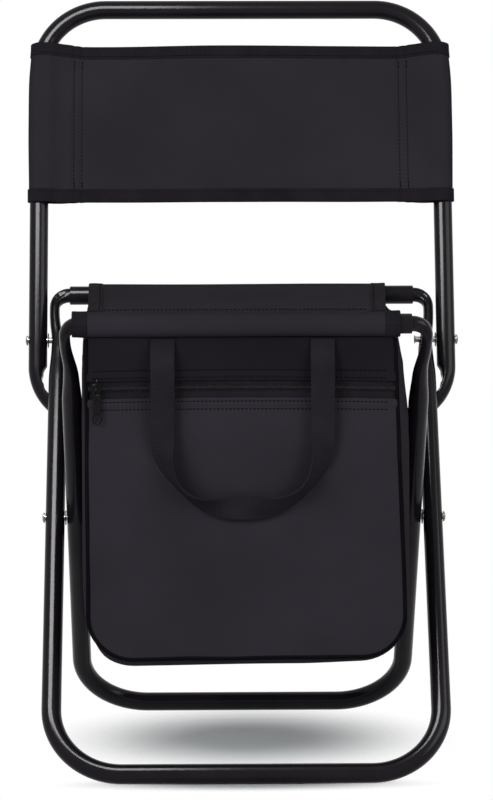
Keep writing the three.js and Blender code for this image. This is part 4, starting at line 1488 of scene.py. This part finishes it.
def lining_tub():
    low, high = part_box("bag_lining")
    put_down()
    bpy.ops.mesh.primitive_cube_add(size=1, location=(low + high) / 2, scale=high - low)
    piece = name_new("bag_lining_film")
    clear = back_depth(high.z) - high.y
    pick_up(piece, "EDIT")
    bpy.ops.mesh.select_mode(type="FACE")
    bpy.ops.mesh.select_all(action="DESELECT")
    bpy.ops.object.mode_set(mode="OBJECT")
    for polygon in piece.data.polygons:
        polygon.select = polygon.normal.z > 0.9
    bpy.ops.object.mode_set(mode="EDIT")
    bpy.ops.mesh.delete(type="FACE")
    bpy.ops.mesh.select_all(action="SELECT")
    bpy.ops.mesh.subdivide(number_cuts=20)
    bpy.ops.object.mode_set(mode="OBJECT")

    def fit(point):
        share = (point.y - low.y) / (high.y - low.y)
        point.y = low.y + share * (back_depth(point.z) - clear - low.y)
        limit = half_width_at(point.z, (high.x - low.x) / 2, BAG_CORNER - 1.1 * MM, low.z)
        point.x = bag_middle + max(-limit, min(limit, point.x - bag_middle))
        return hung(*point)

    reshape(piece, fit)
    tidy_mesh(piece, 50)
    thicken(piece, LINING, 0.4 * MM, -1)
    print("lining clear of the back by", round(clear / MM, 1), "mm")
    return dress(piece, "cooler_bag", lining_film, "lining", "bag_lining")


lining = lining_tub()
press_with_fold(lining)

# %% [markdown]
# ## Zip
# A coil zip: two woven tapes, two rows of nylon teeth that meet in the middle, a slider with a wire bail
# and a puller that ends in a ring. One tooth is modelled and repeated with an Array, and the second row
# is made the same way beside it, half a pitch along.

# %% Zip tapes and teeth
TOOTH_PITCH = 1.5 * MM
TOOTH_LENGTH = 3.0 * MM
TOOTH_WIDTH = 0.85 * MM
TOOTH_HEIGHT = 1.5 * MM
TOOTH_OFFSET = 0.75 * MM
coil_low, coil_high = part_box("zip_coil")
zip_height = (coil_low.z + coil_high.z) / 2
zip_half = seam_half - 0.5 * MM


def lay_on_zip(point):
    return Vector((point.x, point.y, point.z + zip_bow(point.x)))


def zip_tape(name, node, low, high):
    tape_low, tape_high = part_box(node)
    depth = (tape_low.y + tape_high.y) / 2

    def lay(point):
        x = bag_middle + 2 * point.x * zip_half
        return lay_on_zip(Vector((x, depth, low + (point.y + 0.5) * (high - low))))

    piece = grid_sheet(name, 120, 4, lay, 40)
    mark_along(piece, lambda point: point.x)
    thicken(piece, 0.6 * MM)
    return dress(piece, "cooler_bag", webbing, "binding_tape", node)


def tooth_row(side):
    put_down()
    shift = 0.5 * TOOTH_PITCH if side > 0 else 0
    place = Vector((bag_middle - zip_half + TOOTH_PITCH + shift, coil_low.y + TOOTH_HEIGHT / 2,
                    zip_height + side * TOOTH_OFFSET))
    bpy.ops.mesh.primitive_cube_add(size=1, location=place, scale=(TOOTH_WIDTH, TOOTH_HEIGHT, TOOTH_LENGTH))
    row = name_new("tooth")
    modify(row, "BEVEL", width=0.3 * MM, segments=2, limit_method="NONE")
    modify(
        row, "ARRAY", count=int(2 * zip_half / TOOTH_PITCH) - 2, use_relative_offset=False,
        use_constant_offset=True, constant_offset_displace=(TOOTH_PITCH, 0, 0),
    )
    return row


def zip_teeth():
    teeth = join([tooth_row(-1), tooth_row(1)], "zip_teeth")
    reshape(teeth, lay_on_zip)
    bpy.ops.object.shade_smooth_by_angle(angle=math.radians(40))
    return dress(teeth, "cooler_bag", nylon, "zip_plastic", "zip_coil")


zip_tape("zip_tape_top", "zip_tape_upper", zip_height + 0.6 * MM, ZIP_OPENING_TOP + 6 * MM)
zip_tape("zip_tape_low", "zip_tape_lower", ZIP_OPENING_LOW - 6 * MM, zip_height - 0.6 * MM)
print("zip teeth:", len(zip_teeth().data.polygons), "faces")

# %% [markdown]
# ### Slider and puller
# Flat metal parts with holes are quickest as a filled flat curve: the outline is one spline, each hole
# another. The curve gets its thickness and a small bevel, and is made a mesh.

# %% Slider and puller
SLIDER_BEVEL = 0.35 * MM
BAIL_WIRE = 0.7 * MM
PULLER_RING = 4.3 * MM
PULLER_HOLE = 2.9 * MM
PULLER_EYE = 1.9 * MM
PULLER_NECK = 2.9 * MM
slider_low, slider_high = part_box("zip_slider")
puller_low, puller_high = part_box("zip_puller")


def arc(centre, radius, start, end, steps=14):
    angles = [math.radians(start + (end - start) * k / steps) for k in range(steps + 1)]
    return [(centre[0] + radius * math.cos(a), centre[1] + radius * math.sin(a)) for a in angles]


def flat_plate(name, outlines, thickness, bevel, place):
    """Upright plate from closed outlines in x and z; the first is the rim, the others are holes."""
    curve = bpy.data.curves.new(name, "CURVE")
    curve.dimensions = "2D"
    curve.fill_mode = "BOTH"
    curve.extrude = thickness / 2 - bevel
    curve.bevel_depth = bevel
    curve.bevel_resolution = 2
    curve.offset = -bevel
    for outline in outlines:
        spline = curve.splines.new("POLY")
        spline.points.add(len(outline) - 1)
        for point, (x, z) in zip(spline.points, outline):
            point.co = (x, z, 0, 1)
        spline.use_cyclic_u = True
    piece = bpy.data.objects.new(name, curve)
    bpy.context.scene.collection.objects.link(piece)
    pick_up(piece)
    bpy.ops.object.convert(target="MESH")
    piece = bpy.context.active_object
    piece.data.transform(Matrix.Translation(place) @ Matrix.Rotation(math.pi / 2, 4, "X"))
    tidy_mesh(piece, 35)
    return piece


def slider():
    centre = (slider_low + slider_high) / 2
    half_length = (slider_high.x - slider_low.x) / 2
    half = (slider_high.z - slider_low.z) / 2
    outline = arc((-half_length + 2 * MM, 0), 2.0 * MM, 90, 270, 8)
    outline = [(x, z * half / (2 * MM)) for x, z in outline]
    outline += [(half_length * 0.35, -half), *arc((half_length - 1.2 * MM, 0), 1.2 * MM, -60, 60, 6)]
    outline += [(half_length * 0.35, half)]
    plate_depth = 2.2 * MM
    place = Vector((centre.x, slider_high.y - plate_depth / 2, zip_height))
    plate = flat_plate("zip_slider_body", [outline], plate_depth, SLIDER_BEVEL, place)
    reach = slider_high.y - plate_depth - slider_low.y - BAIL_WIRE
    foot = Vector((centre.x, slider_high.y - plate_depth + 0.5 * MM, zip_height + 2.5 * MM))
    bail = Bender("bail", foot, Vector((0, -1, 0)), Vector((-1, 0, 0)), BAIL_WIRE, 12)
    bend = 1.4 * MM
    bail.feed(reach + 0.5 * MM - bend)
    bail.turn(bend, 90, 8)
    bail.feed(5 * MM - 2 * bend)
    bail.turn(bend, 90, 8)
    bail.feed(reach + 0.5 * MM - bend)
    tidy_mesh(bail.piece)
    join([plate, bail.piece], "zip_slider_body")
    reshape(plate, lay_on_zip)
    return dress(plate, "zip_slider", zip_black, "zip_plastic", "zip_slider")


def puller():
    centre_x = (puller_low.x + puller_high.x) / 2
    depth = (puller_low.y + puller_high.y) / 2
    ring = puller_low.z + PULLER_RING
    eye = Vector(joints["zip_puller_swing"]["pos_m"]).z
    shoulder = math.degrees(math.asin(PULLER_NECK / PULLER_RING))
    outline = arc((0, eye), PULLER_NECK, 0, 180)
    outline += [(-PULLER_NECK, ring + PULLER_RING * math.cos(math.radians(shoulder)))]
    outline += arc((0, ring), PULLER_RING, 90 + shoulder, 450 - shoulder, 24)
    holes = [arc((0, eye), PULLER_EYE, 0, 345, 18), arc((0, ring), PULLER_HOLE, 0, 345, 22)]
    plate = flat_plate("zip_puller_tab", [outline, *holes], 1.3 * MM, 0.3 * MM, Vector((centre_x, depth, 0)))
    reshape(plate, lay_on_zip)
    return dress(plate, "zip_puller", zip_black, "zip_plastic", "zip_puller")


print("slider and puller:", len(slider().data.polygons), len(puller().data.polygons), "faces")

# %% [markdown]
# ## Carry handle
# One length of webbing, sewn in below the front bar at both ends. Flat webbing can't turn a corner in its
# own plane, so it rolls and creases there: the points round each corner are turned about the webbing's
# own middle line, most at the middle of the corner.

# %% Carry handle
WEBBING_WIDTH = 19 * MM
WEBBING = 1.6 * MM
WEBBING_COLUMNS = 10
HANDLE_BEND = 50 * MM
HANDLE_STAND = 4 * MM
HANDLE_SETTLE = 24 * MM
LEFT_ROLL = math.radians(76)
RIGHT_ROLL = math.radians(63)
handle_low, handle_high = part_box("carry_handle")


def handle_path():
    """Middle line of the webbing as a flat U, drawn one vertex at a time."""
    half = (handle_high.x - handle_low.x - WEBBING_WIDTH) / 2
    centre_x = (handle_low.x + handle_high.x) / 2
    drop = handle_high.z - handle_low.z - WEBBING_WIDTH / 2 - HANDLE_BEND
    start = Vector((centre_x - half, 0, handle_high.z))
    pen = Bender("carry_handle_webbing", start, Vector((0, 0, -1)), Vector((0, -1, 0)))
    pen.feed(drop, 36)
    pen.turn(HANDLE_BEND, 90, 32)
    pen.feed(2 * (half - HANDLE_BEND), 12)
    pen.turn(HANDLE_BEND, 90, 32)
    pen.feed(drop, 36)
    return pen


def handle_depth(z):
    """The webbing comes forward from its seam to clear the zip and hangs plumb below."""
    sewn = handle_high.y - WEBBING / 2
    hang = handle_low.y + WEBBING / 2
    return sewn + (hang - sewn) * smooth_step(handle_high.z - z, 0, HANDLE_SETTLE)


def roll_at(pen, mark):
    """Roll of the webbing at a distance along it: full in the middle of a corner, none on the straights."""
    roll = 0.0
    for (start, end), size in zip(pen.bends, (LEFT_ROLL, RIGHT_ROLL)):
        share = (mark - start) / (end - start)
        if -0.25 < share < 1.25:
            roll += size * math.cos(math.pi * (share - 0.5) / 1.5) ** 2
    return roll


def carry_handle():
    pen = handle_path()
    pen.widen(Vector((0, 1, 0)), WEBBING_COLUMNS)
    marks = []

    def weave(point):
        share = point.y - 0.5
        mark, centre, heading = pen.nearest(Vector((point.x, 0, point.z)))
        marks.append(mark)
        roll = roll_at(pen, mark)
        side = Matrix.Rotation(roll, 3, heading) @ Vector((0, -1, 0)).cross(heading)
        lump = noise.noise(Vector((mark * 30, share * 2, 5))) * 0.8 * MM
        curl = 3 * MM * (share * share - 0.08) * math.sin(roll)
        depth = handle_depth(centre.z) + lump - abs(curl) - HANDLE_STAND * math.sin(roll)
        return Vector((centre.x, depth, centre.z)) + side * share * WEBBING_WIDTH

    reshape(pen.piece, weave)
    along = pen.piece.data.attributes.new("along", "FLOAT", "POINT")
    for value, mark in zip(along.data, marks):
        value.value = mark
    tidy_mesh(pen.piece, 60)
    thicken(pen.piece, WEBBING, 0.35 * MM)
    print("webbing", round(pen.fed / MM), "mm long")
    return dress(pen.piece, "handle", webbing, "webbing", "carry_handle")


carry_handle()

# %% Back to object mode
put_down()
